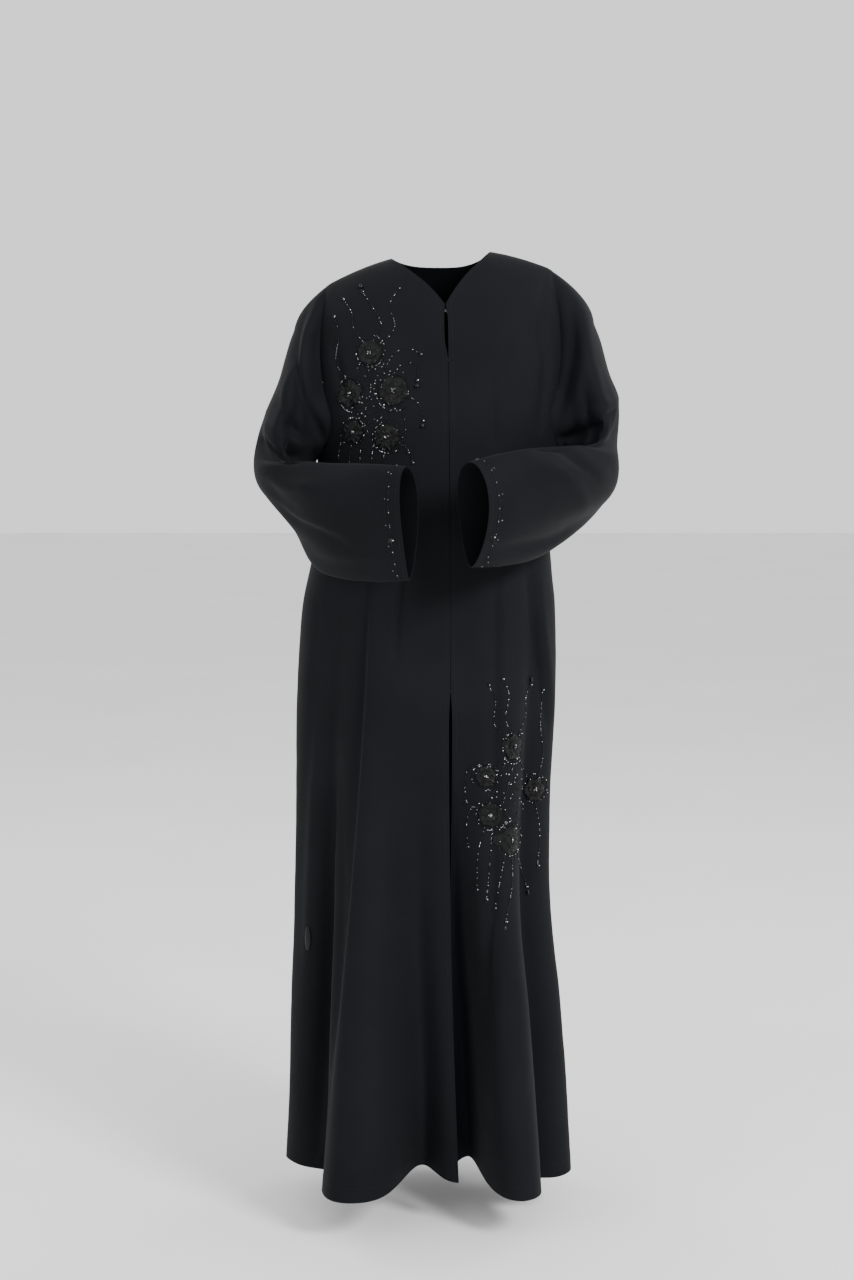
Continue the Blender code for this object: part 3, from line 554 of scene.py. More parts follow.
def front_grid(us, vs, side):
    """Angles and heights of a front panel: rows down to the hem, columns out from the centre."""
    panel = "left" if side > 0 else "right"
    u, v = us[None, :], vs[:, None]
    neck_z = shoulder_line(side * NECK_SIDE_X)
    apex_x = front_edge(NECK_APEX_Z, side)
    t = np.minimum(v / NECK_END, 1.0)
    neck_x = side * NECK_SIDE_X + (apex_x - side * NECK_SIDE_X) * (t + NECKLINE_BOW * np.sin(math.pi * t))
    down = np.maximum((v - NECK_END) / (2 - NECK_END), 0.0)
    edge_z = NECK_APEX_Z + (HEM_Z - NECK_APEX_Z) * down**FRONT_ROW_SPREAD
    inner_z = np.where(v <= NECK_END, neck_z + (NECK_APEX_Z - neck_z) * t, edge_z)
    inner = angle_at_x(np.where(v <= NECK_END, neck_x, front_edge(edge_z, side)), inner_z)
    outer, outer_z = outer_edge(v, side, False)
    angle = inner + (outer - inner) * u
    z = inner_z + (outer_z - inner_z) * u
    top_inner = angle_at_x(side * NECK_SIDE_X, neck_z)
    top_outer, top_outer_z = outer_edge(0.0, side, False)
    level = neck_z + (top_outer_z - neck_z) * u
    top_angle = top_inner + (top_outer - top_inner) * u
    z = z + (on_shoulder(top_angle, level) - level) * np.maximum(1 - v, 0) ** 2
    z = z + hem_rise(angle, panel) * smooth((v - HEM_SHAPED_FROM) / (2 - HEM_SHAPED_FROM))
    return angle, z


def back_grid(us, vs):
    """Angles and heights of the back: rows down to the hem, columns from the left side to the right."""
    u, v = us[None, :], vs[:, None]
    first = u <= 0
    edges = {side: outer_edge(v, side, True) for side in (1, -1)}
    outer = np.where(first, edges[1][0], edges[-1][0])
    outer_z = np.where(first, edges[1][1], edges[-1][1])
    angle = 180 + (outer % 360 - 180) * np.abs(u)
    centre_z = NECK_BACK_Z + (HEM_Z - NECK_BACK_Z) * (v / 2) ** BACK_ROW_SPREAD
    z = centre_z + (outer_z - centre_z) * np.abs(u)
    lift = np.zeros(u.shape)
    for side in (1, -1):
        tip, tip_z = outer_edge(0.0, side, True)
        top_angle = 180 + (tip % 360 - 180) * np.abs(u)
        neck_angle = 180 - angle_at_x(side * NECK_SIDE_X, shoulder_line(side * NECK_SIDE_X))
        from_centre = np.abs(top_angle - 180) / abs(neck_angle - 180)
        level = NECK_BACK_Z + (tip_z - NECK_BACK_Z) * np.abs(u)
        neck_z = on_shoulder(neck_angle, tip_z)
        curved = NECK_BACK_Z + (neck_z - NECK_BACK_Z) * np.minimum(from_centre, 1) ** NECK_BACK_CURVE
        top_z = np.where(from_centre < 1, curved, on_shoulder(top_angle, tip_z))
        lift = np.where(first == (side > 0), top_z - level, lift)
    z = z + lift * np.maximum(1 - v, 0) ** 2
    z = z + hem_rise(angle, "back") * smooth((v - HEM_SHAPED_FROM) / (2 - HEM_SHAPED_FROM))
    return angle, z


def sleeve_section(four, pinch, turns):
    """A closed ring through four points, narrower towards its inner side by the pinch."""
    outer, front, inner, back = (np.array(p) / 1000 for p in four)
    a = np.radians(turns)[:, None]
    middle = (outer + front + inner + back) / 4
    skew = (outer - front + inner - back) / 4
    across = (outer - inner) / 2 * np.cos(a) * (1 + pinch * np.sin(a))
    return middle + across + (front - back) / 2 * np.sin(a) + skew * np.cos(2 * a)


def armhole_points(turns, front_edge_points, back_edge_points):
    """The armhole's edge at these turns, read from the finished edges of the front and the back."""
    behind = turns > 180
    rows = np.where(behind, 360 - turns, turns) / 180 * ARMHOLE_ROWS
    at = np.arange(ARMHOLE_ROWS + 1)
    edges = [
        np.stack([np.interp(rows, at, edge[: ARMHOLE_ROWS + 1, k]) for k in range(3)], axis=1)
        for edge in (front_edge_points, back_edge_points)
    ]
    return np.where(behind[:, None], edges[1], edges[0])


def sleeve_fold(name, station, turn):
    total = np.zeros(np.broadcast(station, turn).shape)
    for owner, start, start_turn, end, end_turn, width, height in SLEEVE_FOLDS:
        if owner in ("both", name):
            along = np.clip((station - start) / (end - start), 0, 1)
            off = turned(turn, start_turn + (end_turn - start_turn) * along)
            total = total + height * np.sin(math.pi * along) * np.exp(-((off / width) ** 2))
    return total


def normals_of(points, closed=False):
    down = np.gradient(points, axis=0)
    if closed:
        across = (np.roll(points, -1, axis=1) - np.roll(points, 1, axis=1)) / 2
    else:
        across = np.gradient(points, axis=1)
    return unit(np.cross(down, across))


def unit(vectors):
    return vectors / np.maximum(np.linalg.norm(vectors, axis=-1, keepdims=True), 1e-12)


def outwards(points, normals, row):
    """The normals turned, if need be, to point away from the middle of a row."""
    middle = points[row].mean(axis=0)
    return normals * np.sign((normals[row] * (points[row] - middle)).sum())


def photo_places(points):
    """Where points lie in the photo's frame, in its pixels, and whether they face its camera."""
    tilt = math.radians(CAMERA_TILT)
    ahead = np.array([0, math.cos(tilt), -math.sin(tilt)])
    up = np.array([0, math.sin(tilt), math.cos(tilt)])
    from_camera = points - np.array(CAMERA_AT)
    depth = from_camera @ ahead
    x = PHOTO_SIZE[0] / 2 + FOCAL_PX * from_camera[..., 0] / depth
    y = PHOTO_SIZE[1] / 2 - FOCAL_PX * (from_camera @ up) / depth
    return np.stack([x, y], axis=-1), unit(from_camera)


def along_line(field, line, before, after, height):
    """A soft ridge along a smooth line in a field of places, fading to its ends and to its two sides."""
    line = np.array(line, float)
    marks = spline(np.arange(len(line)), line, np.linspace(0, len(line) - 1, 8 * (len(line) - 1) + 1))
    best = np.full(field.shape[:-1], 1e9)
    where, side = np.zeros(best.shape), np.zeros(best.shape)
    for k, (start, end) in enumerate(zip(marks[:-1], marks[1:])):
        way = end - start
        share = np.clip(((field - start) @ way) / (way @ way), 0, 1)
        off = field - start - share[..., None] * way
        distance = (off**2).sum(axis=-1)
        nearer = distance < best
        where = np.where(nearer, (k + share) / (len(marks) - 1), where)
        side = np.where(nearer, off[..., 0] * way[1] - off[..., 1] * way[0], side)
        best = np.where(nearer, distance, best)
    width = np.where(side > 0, after, before)
    return height * np.sin(math.pi * (0.02 + 0.96 * where)) ** 0.4 * np.exp(-best / width**2)


def creases(name, points, normals, angle=None, z=None):
    """How far the creases stand out of a piece, in metres."""
    total = np.zeros(points.shape[:-1])
    places, sight = photo_places(points)
    facing = smooth(-(normals * sight).sum(axis=-1) / FACING_SHARE)
    for height, before, after, line in SEEN_CREASES.get(name, ()):
        total += along_line(places, line, before, after, height / 1000) * facing
    if angle is not None:
        field = np.stack([angle % 360, z * DEGREES_A_METRE], axis=-1)
        for height, before, after, line in BODY_CREASES:
            line = [(a, level * DEGREES_A_METRE) for a, level in line]
            total += along_line(field, line, before, after, height / 1000)
    return total


def unevenness(points):
    """Slight soft waves, the same wherever two pieces meet."""
    flat = points.reshape(-1, 3)
    waves = [sum(height * noise.noise(Vector(p * pitch)) for height, pitch in WAVES) for p in flat]
    return np.array(waves).reshape(points.shape[:-1])


def shell_faces(rows, columns, closed=False):
    """Faces of a thin closed shell whose outer grid of points is followed by its inner one."""
    count = rows * columns
    j, i = np.meshgrid(np.arange(rows - 1), np.arange(columns if closed else columns - 1), indexing="ij")
    a = (j * columns + i).ravel()
    b = (j * columns + (i + 1) % columns).ravel()
    faces = [np.stack([a, a + columns, b + columns, b], axis=1)]
    faces.append(np.stack([a, b, b + columns, a + columns], axis=1) + count)
    k = np.arange(columns if closed else columns - 1)
    last = (rows - 1) * columns
    rims = [np.stack([k, (k + 1) % columns], axis=1), np.stack([(k + 1) % columns, k], axis=1) + last]
    if not closed:
        k = np.arange(rows - 1) * columns
        rims.append(np.stack([k + columns, k], axis=1))
        rims.append(np.stack([k, k + columns], axis=1) + columns - 1)
    for rim in rims:
        faces.append(np.concatenate([rim, rim[:, ::-1] + count], axis=1))
    return np.concatenate(faces)


def shell_mesh(name, outer, normals, closed=False):
    """The outer grid, and the same grid moved in by the cloth's thickness, as one closed mesh."""
    points = np.concatenate([outer.reshape(-1, 3), (outer - normals * CLOTH).reshape(-1, 3)])
    mesh = bpy.data.meshes.new(name)
    mesh.from_pydata(points.tolist(), [], shell_faces(*outer.shape[:2], closed).tolist())
    mesh.update()
    return mesh


def add_piece(name, mesh, material, smooth_from=60):
    mesh.materials.append(material)
    bm = bmesh.new()
    bm.from_mesh(mesh)
    bmesh.ops.recalc_face_normals(bm, faces=bm.faces)
    bm.to_mesh(mesh)
    bm.free()
    mesh.shade_smooth()
    mesh.set_sharp_from_angle(angle=math.radians(smooth_from))
    obj = bpy.data.objects.new(name, mesh)
    bpy.context.scene.collection.objects.link(obj)
    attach(obj, "root")
    return obj


def panel_rows():
    above = np.arange(ARMHOLE_ROWS) / ARMHOLE_ROWS
    below = 1 + np.arange(SKIRT_ROWS + 1) / SKIRT_ROWS
    return np.concatenate([above, below])


def from_column(points, column):
    """How far each point of a grid lies from the same row's point in one column."""
    return np.linalg.norm(points - points[:, column][:, None], axis=-1)


def groove(away):
    return -SEAM_SINK * np.exp(-((away / SEAM_WIDTH) ** 2))


def relief(name, points, normals, away, angle=None, z=None):
    """How far the cloth stands out: its creases, its slight waves and the groove beside a seam."""
    seen = creases(name, points, normals, angle, z) * smooth(away / CREASE_FADE)
    return seen + unevenness(points) + groove(away)


def cloth_piece(name, points, normals, height, material, closed=False):
    """A panel's or sleeve's finished shell, with its outer points and the directions out of them."""
    points = points + normals * height[..., None]
    again = normals_of(points, closed)
    again *= np.sign((again * normals).sum())
    mesh = shell_mesh(name + "_cloth", points, again, closed)
    piece = add_piece(name + "_cloth", mesh, material)
    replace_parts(piece, name)
    return piece, points, again


def front_piece(side, material):
    panel = "left" if side > 0 else "right"
    us = (np.arange(FRONT_COLUMNS + 1) / FRONT_COLUMNS) ** FRONT_COLUMN_SPREAD
    angle, z = front_grid(us, panel_rows(), side)
    points = body_point(angle, z, panel)
    points[0, :, 1] -= SEAM_GAP / 2
    normals = normals_of(points)
    if normals[ARMHOLE_ROWS, :, 1].mean() > 0:
        normals = -normals
    away = from_column(points, FRONT_COLUMNS)
    height = relief("front_" + panel, points, normals, away, angle, z)
    return cloth_piece("front_" + panel, points, normals, height, material)


def back_piece(material):
    us = 2 * np.arange(BACK_COLUMNS + 1) / BACK_COLUMNS - 1
    angle, z = back_grid(us, panel_rows())
    points = body_point(angle, z, "back")
    points[0, :, 1] += SEAM_GAP / 2
    normals = normals_of(points)
    if normals[ARMHOLE_ROWS, :, 1].mean() < 0:
        normals = -normals
    away = np.minimum(from_column(points, 0), from_column(points, BACK_COLUMNS))
    height = relief("back", points, normals, away, angle, z)
    return cloth_piece("back", points, normals, height, material)


def sleeve_piece(side, material, front_edge_points, back_edge_points):
    """A sleeve from just inside the panels' armhole edges to its cuff."""
    name = "left" if side > 0 else "right"
    turns = 360 * np.arange(SLEEVE_COLUMNS) / SLEEVE_COLUMNS
    end = SLEEVE_STATIONS[-1]
    stations = end * (np.arange(SLEEVE_ROWS + 1) / SLEEVE_ROWS) ** SLEEVE_ROW_SPREAD
    sections = LEFT_SLEEVE if side > 0 else RIGHT_SLEEVE
    keys = [armhole_points(turns, front_edge_points, back_edge_points)]
    keys += [sleeve_section(four, pinch, turns) for four, pinch in zip(sections, SLEEVE_PINCH)]
    points = spline(SLEEVE_STATIONS, np.array(keys), stations)
    radial = points[0] - points[0].mean(axis=0)
    radial[:, 0] = 0
    points[0] -= unit(radial) * SEEN_GAP
    points[0, :, 0] += side * SEEN_GAP
    normals = outwards(points, normals_of(points, closed=True), SLEEVE_ROWS // 2)
    points = points + normals * sleeve_fold(name, stations[:, None], turns[None, :])[..., None]
    normals = outwards(points, normals_of(points, closed=True), SLEEVE_ROWS // 2)
    away = np.linalg.norm(points - points[:1], axis=-1)
    height = relief("sleeve_" + name, points, normals, away) * smooth(away / SEAM_WIDTH)
    return cloth_piece("sleeve_" + name, points, normals, height, material, closed=True)


def surface_of(points):
    rows, columns = points.shape[:2]
    j, i = np.meshgrid(np.arange(rows - 1), np.arange(columns - 1), indexing="ij")
    a = (j * columns + i).ravel()
    faces = np.stack([a, a + 1, a + 1 + columns, a + columns], axis=1)
    return BVHTree.FromPolygons(points.reshape(-1, 3).tolist(), faces.tolist())


def drop_on(surface, x, z):
    """The cloth's point and its direction out behind a front view's x and z."""
    spot, normal, _, _ = surface.ray_cast(Vector((x, -1, z)), Vector((0, 1, 0)))
    if spot is None:
        return None
    return spot, normal if normal.y < 0 else -normal


def line_on(surface, places, spacing):
    """Evenly spaced points, with directions out, along a smooth front-view line laid on the cloth."""
    places = np.array(places) / 1000
    fine = spline(np.arange(len(places)), places, np.linspace(0, len(places) - 1, 30 * len(places)))
    found = [hit for hit in (drop_on(surface, x, z) for x, z in fine) if hit]
    spots = np.array([spot for spot, _ in found])
    outs = np.array([out for _, out in found])
    return evenly(spots, outs, spacing)


def evenly(spots, outs, spacing):
    along = np.concatenate([[0], np.cumsum(np.linalg.norm(np.diff(spots, axis=0), axis=1))])
    at = np.arange(0, along[-1], spacing)
    places = np.stack([np.interp(at, along, spots[:, k]) for k in range(3)], axis=1)
    directions = np.stack([np.interp(at, along, outs[:, k]) for k in range(3)], axis=1)
    return places, unit(directions)


def bead_template():
    bm = bmesh.new()
    bmesh.ops.create_icosphere(bm, subdivisions=2, radius=1)
    bm.verts.index_update()
    points = np.array([v.co[:] for v in bm.verts])
    faces = np.array([[v.index for v in f.verts] for f in bm.faces])
    bm.free()
    return points, faces


def beads_piece(name, centres, radii, material):
    """Many beads as one mesh."""
    template, faces = bead_template()
    centres, radii = np.array(centres), np.array(radii)
    points = centres[:, None, :] + template[None] * radii[:, None, None]
    every = faces[None] + (np.arange(len(centres)) * len(template))[:, None, None]
    mesh = bpy.data.meshes.new(name)
    mesh.from_pydata(points.reshape(-1, 3).tolist(), [], every.reshape(-1, 3).tolist())
    add_piece(name, mesh, material, smooth_from=180)


class Beads:
    """Small beads of two kinds, dark and clear, that become one mesh each."""

    def __init__(self):
        self.kinds = {"dark": [], "clear": []}

    def add(self, bright, centre, radius):
        self.kinds["clear" if bright else "dark"].append((tuple(centre), radius))

    def make(self, name, jet, clear):
        for kind, material in (("dark", jet), ("clear", clear)):
            centres, radii = zip(*self.kinds[kind])
            beads_piece(f"{name}_{kind}", centres, radii, material)


def stitches_piece(name, lines, material):
    """Short threads along lines of (points, directions out), each a tapered prism."""
    sides, rings = STITCH_SIDES, len(STITCH_RINGS)
    points, faces = [], []
    for spots, outs in lines:
        ahead = unit(np.gradient(spots, axis=0))
        beside = np.cross(ahead, outs)
        for spot, out, way, aside in zip(spots, outs, ahead, beside):
            first = len(points)
            for end, share in STITCH_RINGS:
                for k in range(sides):
                    a = 2 * math.pi * k / sides
                    ring = (aside * math.cos(a) + out * math.sin(a)) * STITCH_RADIUS * share
                    points.append(spot + way * end * STITCH_LENGTH + ring + out * STITCH_RADIUS * share)
            for row in range(rings - 1):
                for k in range(sides):
                    c, d = first + row * sides + k, first + row * sides + (k + 1) % sides
                    faces.append((c, d, d + sides, c + sides))
            faces.append(tuple(first + k for k in range(sides - 1, -1, -1)))
            faces.append(tuple(first + (rings - 1) * sides + k for k in range(sides)))
    mesh = bpy.data.meshes.new(name)
    mesh.from_pydata([tuple(p) for p in points], [], faces)
    add_piece(name, mesh, material)


def cloth_frame(surface, middle):
    """The cloth's point behind a place, with the directions across, up and out of the cloth there."""
    spot, out = drop_on(surface, middle.x, middle.z)
    across = Vector((0, 0, 1)).cross(out).normalized()
    return spot, across, out.cross(across), out


def around(frame, reach, turn):
    """A place in a frame's own plane, at a reach and a turn from its spot."""
    spot, across, up, _ = frame
    return spot + across * reach * math.cos(turn) + up * reach * math.sin(turn)


def petal_grid(surface, frame, size, way, long, lift, phase):
    """One petal's upper surface on the cloth, rows from root to tip, cupped, ribbed and ruffled."""
    spot, across, up, out = frame
    grid = []
    for r in np.linspace(0, 1, PETAL_ROWS):
        swell = math.sin(math.pi / 2 * min(r / PETAL_WIDEST_AT, 1)) ** 0.8
        spread = PETAL_ROOT_WIDTH + (1 - PETAL_ROOT_WIDTH) * swell
        rounded = math.sqrt(max(1 - max((r - PETAL_WIDEST_AT) / PETAL_TIP, 0) ** 2, 0.02))
        half_width = size * PETAL_HALF_WIDTH / long * spread * (0.55 + 0.45 * rounded)
        row = []
        for w in np.linspace(-1, 1, PETAL_COLUMNS):
            side = w * half_width
            reach = size * (PETAL_ROOT + (1 - PETAL_ROOT) * r)
            reach -= size * PETAL_SHOULDERS * (1 - math.sqrt(1 - 0.92 * w * w)) * r
            reach += size * 0.022 * math.sin(9 * w + phase) * r**3
            a = reach * math.cos(way) - side * math.sin(way)
            b = reach * math.sin(way) + side * math.cos(way)
            start = spot + across * a + up * b
            hit = surface.ray_cast(start + out * 0.03, -out, 0.06)[0] or start
            cup = PETAL_CUP * math.sin(math.pi * (0.10 + 0.62 * r)) * (1 - 0.35 * w * w)
            ribs = PETAL_RIB * math.cos(w * 22 + phase) * min(1, 2.5 * r)
            ruffle = PETAL_RUFFLE * math.sin(7 * w + phase) * r**3
            row.append(hit + out * (lift + cup + ribs + ruffle))
        grid.append(row)
    return np.array(grid)


def flower_piece(side, number, turn, petals, long, surface, material):
    """Two layers of petals in a flower's place. Gives its frame on the cloth and its size."""
    node = f"flower_{side}_{number}"
    low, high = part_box(node)
    frame = cloth_frame(surface, (low + high) / 2)
    size = max(high.z - low.z, high.x - low.x) / 2
    thickness = np.array(frame[3]) * PETAL_THICKNESS
    points, faces = [], []
    for fewer, share, more_turn, lift in PETAL_LAYERS:
        count = petals - fewer
        for k in range(count):
            way = math.radians(turn + more_turn + 360 * k / count)
            stagger = lift + PETAL_STAGGER * (k % 2)
            grid = petal_grid(surface, frame, size * share, way, long, stagger, k * 1.7 + number)
            upper = grid.reshape(-1, 3)
            faces += (shell_faces(PETAL_ROWS, PETAL_COLUMNS) + len(points)).tolist()
            points += [tuple(p) for p in upper] + [tuple(p - thickness) for p in upper]
    mesh = bpy.data.meshes.new(f"petals_{side}_{number}")
    mesh.from_pydata(points, [], faces)
    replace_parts(add_piece(mesh.name, mesh, material), node)
    return frame, size


def ball_piece(name, node, segments, rings, place, material):
    """A round piece that stands for a node: a ball of radius 1 whose points are moved to their places."""
    bm = bmesh.new()
    bmesh.ops.create_uvsphere(bm, u_segments=segments, v_segments=rings, radius=1)
    for v in bm.verts:
        v.co = place(*v.co)
    mesh = bpy.data.meshes.new(name)
    bm.to_mesh(mesh)
    bm.free()
    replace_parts(add_piece(name, mesh, material, smooth_from=180), node)


def drop_piece(side, number, material):
    """A smooth drop bead, a little narrower at its top, where the CAD solid lies."""
    node = f"drop_{side}_{number}"
    low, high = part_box(node)
    middle, half = (low + high) / 2, (high - low) / 2

    def place(x, y, z):
        narrow = 1 - 0.28 * max(z, 0) ** 1.3
        return Vector((x * half.x * narrow, y * half.y * narrow, z * half.z)) + middle

    ball_piece(f"bead_{node}", node, 28, 18, place, material)


def plate_piece(surface, material):
    """A thin domed oval plate in the place of the flat CAD one, so that its edges catch the light."""
    low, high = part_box("side_plate")
    middle = (low + high) / 2
    _, across, up, out = cloth_frame(surface, middle)
    half_width, half_height, half_depth = PLATE_HALVES

    def place(x, y, z):
        return middle + across * x * half_width + out * y * half_depth + up * z * half_height

    ball_piece("domed_plate", "side_plate", 36, 24, place, material)


def strewn_bead(beads, surface, x, z, bright, sizes, rng):
    """A bead of a random size on the cloth, where there is cloth behind a front view's x and z."""
    found = drop_on(surface, x, z)
    if found:
        radius = SEED_RADIUS * rng.uniform(*sizes)
        beads.add(bright, found[0] + found[1] * radius, radius)


def flower_beads(beads, surface, frame, size, rng):
    """Beads over a flower's middle, in a spiral round its petals, and loose beside it."""
    for k in range(CENTRE_BEADS):
        reach, turn = size * CENTRE_REACH * math.sqrt(rng.random()), rng.random() * 2 * math.pi
        place = around(frame, reach, turn) + frame[3] * CENTRE_LIFT
        beads.add(k % BRIGHT_EVERY == 0, place, SEED_RADIUS * rng.uniform(0.8, 1.4))
    first = rng.random() * 2 * math.pi
    for k in range(int(size * SPIRAL_RADIUS * SPIRAL_TURN / BEAD_SPACING)):
        turn = first + k * BEAD_SPACING / (size * 1.2)
        beside = around(frame, size * (SPIRAL_START + SPIRAL_GROWTH * (turn - first)), turn)
        found = drop_on(surface, beside.x, beside.z)
        if found:
            beads.add(rng.random() < 0.2, found[0] + found[1] * SEED_RADIUS, SEED_RADIUS)
    for k in range(LOOSE_BEADS):
        reach, turn = size * rng.uniform(0.95, 1.45), rng.random() * 2 * math.pi
        beside = around(frame, reach, turn)
        strewn_bead(beads, surface, beside.x, beside.z, k % BRIGHT_EVERY == 0, (0.7, 1.25), rng)


def field_beads(beads, surface, side, rng):
    """Loose beads over the thick of a spray."""
    centre_x, centre_z, half_width, half_height = BEAD_FIELDS[side]
    for k in range(FIELD_BEADS):
        reach, turn = math.sqrt(rng.random()), rng.random() * 2 * math.pi
        x = centre_x + half_width * reach * math.cos(turn)
        z = centre_z + half_height * reach * math.sin(turn)
        strewn_bead(beads, surface, x, z, k % BRIGHT_EVERY == 0, (0.7, 1.3), rng)


def tendril_beads(beads, surface, side, rng):
    """A string of beads along each tendril, with three larger ones at its end."""
    for line in TENDRILS[side]:
        spots, outs = line_on(surface, line, BEAD_SPACING)
        for place, out in zip(spots, outs):
            bright = rng.random() < 0.22
            radius = SEED_RADIUS * (0.85 if bright else 0.95)
            beads.add(bright, Vector(place) + Vector(out) * radius, radius)
        for step in range(3):
            away = np.array([math.cos(2.1 * step), 0, math.sin(2.1 * step)]) * END_RADIUS
            beads.add(step == 0, Vector(spots[-1] + away + outs[-1] * END_RADIUS), END_RADIUS * 0.6)


def spray(side, surface, petals, jet, clear):
    """One spray: its flowers, and the small beads in, round and between them."""
    rng = np.random.default_rng(SPRAY_SEEDS[side])
    beads = Beads()
    for look in FLOWER_LOOKS:
        if look[0] == side:
            flower_beads(beads, surface, *flower_piece(*look, surface, petals), rng)
    field_beads(beads, surface, side, rng)
    tendril_beads(beads, surface, side, rng)
    beads.make(f"beads_{side}", jet, clear)


def row_inside(points, distance):
    """The row that lies this far, on average, from a grid's last row."""
    from_edge = np.linalg.norm(points - points[-1:], axis=-1).mean(axis=1)
    return int(np.argmin(np.abs(from_edge - distance)))


def cuff_line(points, normals, inside, spacing):
    """Evenly spaced points, with directions out, all round a sleeve beside its cuff."""
    row = row_inside(points, inside)
    ring = np.append(np.arange(points.shape[1]), 0)
    return evenly(points[row][ring], normals[row][ring], spacing)


def cuff_trim(side, points, normals, jet, clear, thread):
    """Two bead rows and a stitched line round a cuff, and a small cluster where the photo shows one."""
    name = "left" if side > 0 else "right"
    beads = Beads()
    for inside, spacing in CUFF_BEAD_ROWS:
        spots, outs = cuff_line(points, normals, inside, spacing)
        for k, (spot, out) in enumerate(zip(spots, outs)):
            beads.add(k % 6 == 0, spot + out * SEED_RADIUS, SEED_RADIUS * 0.85)
    places, sight = photo_places(points)
    off = ((places - CUFF_CLUSTERS[name]) ** 2).sum(axis=-1)
    off[(normals * sight).sum(axis=-1) > 0] = np.inf
    j, i = np.unravel_index(np.argmin(off), off.shape)
    for k in range(5):
        spread = np.array([math.cos(k * 1.26), 0, math.sin(k * 1.26)]) * CLUSTER_SPREAD
        beads.add(k == 0, points[j, i] + spread + normals[j, i] * END_RADIUS, END_RADIUS * 0.75)
    beads.make(f"cuff_beads_{name}", jet, clear)
    stitched = cuff_line(points, normals, EDGE_STITCH, STITCH_PITCH)
    stitches_piece(f"cuff_stitches_{name}", [stitched], thread)


def edge_stitches(name, points, normals, thread):
    """Topstitching beside a front's centre edge and above its hem."""
    columns = np.argmin(np.abs(from_column(points, 0) - EDGE_STITCH), axis=1)
    rows = np.arange(len(points))
    beside = evenly(points[rows, columns], normals[rows, columns], STITCH_PITCH)
    stitches_piece(name, [beside, hem_line(points, normals)], thread)


def hem_line(points, normals):
    row = row_inside(points, HEM_STITCH)
    return evenly(points[row], normals[row], STITCH_PITCH * 1.5)


def node_in(tree, kind, **values):
    node = tree.nodes.new(kind)
    for key, value in values.items():
        node.inputs[key.replace("_", " ")].default_value = value
    return node


def blend_colours(tree, factor, dark, light):
    ramp = tree.nodes.new("ShaderNodeValToRGB")
    ramp.color_ramp.elements[0].position, ramp.color_ramp.elements[1].position = 0.3, 0.7
    ramp.color_ramp.elements[0].color = (*dark, 1)
    ramp.color_ramp.elements[1].color = (*light, 1)
    tree.links.new(factor, ramp.inputs["Fac"])
    return ramp.outputs["Color"]


def surface_material(name, dark, light, roughness, grain, bump, patch=7.0, **settings):
    """A material with soft patches of two colours, a varied roughness and a fine raised grain."""
    material = bpy.data.materials.new(name)
    material.use_nodes = True
    tree = material.node_tree
    shader = tree.nodes["Principled BSDF"]
    for key, value in settings.items():
        shader.inputs[key.replace("_", " ")].default_value = value
    where = tree.nodes.new("ShaderNodeTexCoord").outputs["Object"]
    patches = node_in(tree, "ShaderNodeTexNoise", Scale=patch, Detail=3.0, Roughness=0.55)
    fine = node_in(tree, "ShaderNodeTexNoise", Scale=grain, Detail=2.0, Roughness=0.6)
    for texture in (patches, fine):
        tree.links.new(where, texture.inputs["Vector"])
    tree.links.new(blend_colours(tree, patches.outputs["Fac"], dark, light), shader.inputs["Base Color"])
    spread = tree.nodes.new("ShaderNodeMapRange")
    spread.inputs["To Min"].default_value, spread.inputs["To Max"].default_value = roughness
    tree.links.new(fine.outputs["Fac"], spread.inputs["Value"])
    tree.links.new(spread.outputs["Result"], shader.inputs["Roughness"])
    raised = node_in(tree, "ShaderNodeBump", Strength=bump[0], Distance=bump[1])
    tree.links.new(fine.outputs["Fac"], raised.inputs["Height"])
    tree.links.new(raised.outputs["Normal"], shader.inputs["Normal"])
    return material


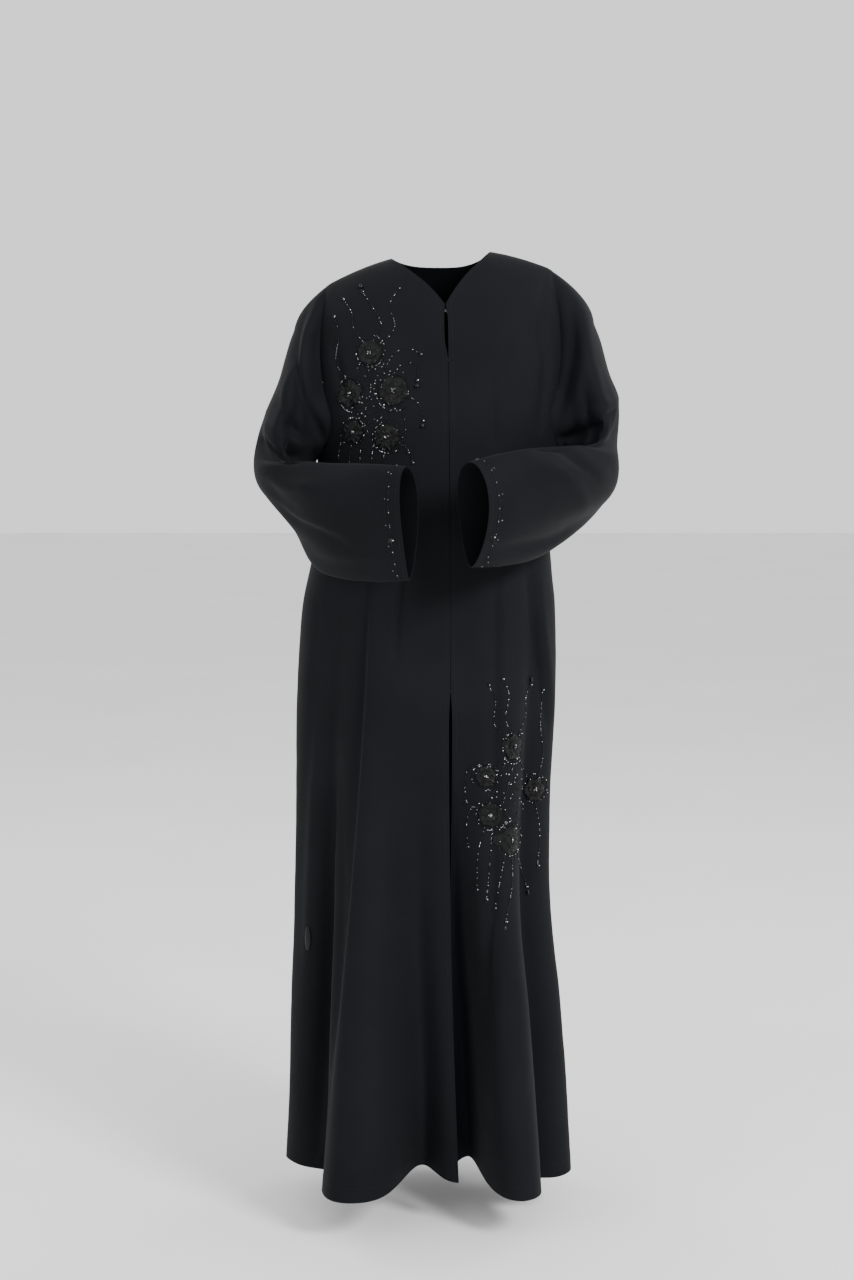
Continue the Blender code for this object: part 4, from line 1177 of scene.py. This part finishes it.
def make_materials():
    """All materials. Each piece of cloth has one of its own, all alike."""
    made = {}
    for name in CUTS:
        made[name] = surface_material(
            name + "_crepe", dark=(0.0038, 0.0044, 0.0054), light=(0.0054, 0.0062, 0.0076),
            roughness=(0.68, 0.88), grain=900.0, bump=(0.35, 0.0004),
            Sheen_Weight=0.02, Sheen_Roughness=0.40, Specular_IOR_Level=0.06,
        )
    made["organza"] = surface_material(
        "dark_organza", dark=(0.0014, 0.0017, 0.0015), light=(0.0078, 0.0088, 0.0080),
        roughness=(0.26, 0.44), grain=700.0, bump=(0.25, 0.0002), patch=150.0,
        Sheen_Weight=0.008, Specular_IOR_Level=0.09,
    )
    made["jet"] = surface_material(
        "jet_bead", dark=(0.0030, 0.0030, 0.0036), light=(0.0060, 0.0060, 0.0070),
        roughness=(0.08, 0.16), grain=300.0, bump=(0.04, 0.0001), patch=60.0, Specular_IOR_Level=0.22,
    )
    made["clear"] = surface_material(
        "clear_bead", dark=(0.28, 0.28, 0.30), light=(0.58, 0.59, 0.62),
        roughness=(0.10, 0.24), grain=300.0, bump=(0.04, 0.0001), patch=60.0, Metallic=0.85,
    )
    made["thread"] = surface_material(
        "black_thread", dark=(0.0065, 0.0070, 0.0080), light=(0.0110, 0.0118, 0.0132),
        roughness=(0.5, 0.7), grain=1500.0, bump=(0.3, 0.0001), Specular_IOR_Level=0.2,
    )
    made["wire"] = surface_material(
        "fastener_wire", dark=(0.22, 0.22, 0.23), light=(0.32, 0.32, 0.33),
        roughness=(0.26, 0.38), grain=800.0, bump=(0.06, 0.0001), patch=120.0, Metallic=1.0,
    )
    made["plate"] = surface_material(
        "dark_plate", dark=(0.0050, 0.0050, 0.0056), light=(0.0080, 0.0080, 0.0088),
        roughness=(0.10, 0.20), grain=500.0, bump=(0.05, 0.0001), patch=50.0, Specular_IOR_Level=0.12,
    )
    made["floor"] = surface_material(
        "pale_floor", dark=(0.80, 0.80, 0.80), light=(0.84, 0.84, 0.84),
        roughness=(0.70, 0.80), grain=40.0, bump=(0.02, 0.001), patch=2.0,
    )
    return made


def make_camera():
    camera = bpy.data.objects.new("camera", bpy.data.cameras.new("camera"))
    bpy.context.scene.collection.objects.link(camera)
    camera.location = CAMERA_AT
    camera.rotation_euler = (math.radians(90 - CAMERA_TILT), 0, 0)
    camera.data.sensor_width = 36
    camera.data.lens = 36 * FOCAL_PX / PHOTO_SIZE[1]
    camera.data.clip_end = 60
    bpy.context.scene.camera = camera


def make_light(name, place, target_z, size, power):
    light = bpy.data.lights.new(name, "AREA")
    light.shape, light.size, light.energy = "DISK", size, power
    obj = bpy.data.objects.new(name, light)
    obj.location = place
    obj.rotation_euler = (Vector((0, 0, target_z)) - Vector(place)).to_track_quat("-Z", "Y").to_euler()
    bpy.context.scene.collection.objects.link(obj)


def make_surroundings(material):
    bm = bmesh.new()
    bmesh.ops.create_grid(bm, x_segments=1, y_segments=1, size=FLOOR_REACH)
    for v in bm.verts:
        v.co.z = FLOOR_Z
    mesh = bpy.data.meshes.new("floor")
    bm.to_mesh(mesh)
    bm.free()
    mesh.materials.append(material)
    floor = bpy.data.objects.new("floor", mesh)
    bpy.context.scene.collection.objects.link(floor)
    world = bpy.data.worlds.new("studio")
    world.use_nodes = True
    world.node_tree.nodes["Background"].inputs["Color"].default_value = (1, 1, 1, 1)
    world.node_tree.nodes["Background"].inputs["Strength"].default_value = WORLD_STRENGTH
    bpy.context.scene.world = world
    for light in LIGHTS:
        make_light(*light)


def main():
    for obj in list(bpy.data.objects):
        bpy.data.objects.remove(obj)
    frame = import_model()
    make_camera()
    made = make_materials()
    make_surroundings(made["floor"])

    fronts, edges = {}, {}
    for side, name in ((-1, "right"), (1, "left")):
        piece, points, normals = front_piece(side, made["front_" + name])
        edge_stitches(f"front_stitches_{name}", points, normals, made["thread"])
        fronts[name] = surface_of(points)
        edges[name] = points[:, -1]
    piece, points, normals = back_piece(made["back"])
    back_edges = {"left": points[:, 0], "right": points[:, -1]}
    stitches_piece("back_stitches", [hem_line(points, normals)], made["thread"])
    for side, name in ((-1, "right"), (1, "left")):
        piece, points, normals = sleeve_piece(side, made["sleeve_" + name], edges[name], back_edges[name])
        cuff_trim(side, points, normals, made["jet"], made["clear"], made["thread"])
    for name, surface in fronts.items():
        spray(name, surface, made["organza"], made["jet"], made["clear"])
        for number in (1, 2, 3):
            drop_piece(name, number, made["jet"])
    plate_piece(fronts["right"], made["plate"])
    for node, obj in frame["nodes"].items():
        if node.startswith(("hook_", "eye_")):
            obj.data.materials.clear()
            obj.data.materials.append(made["wire"])


main()
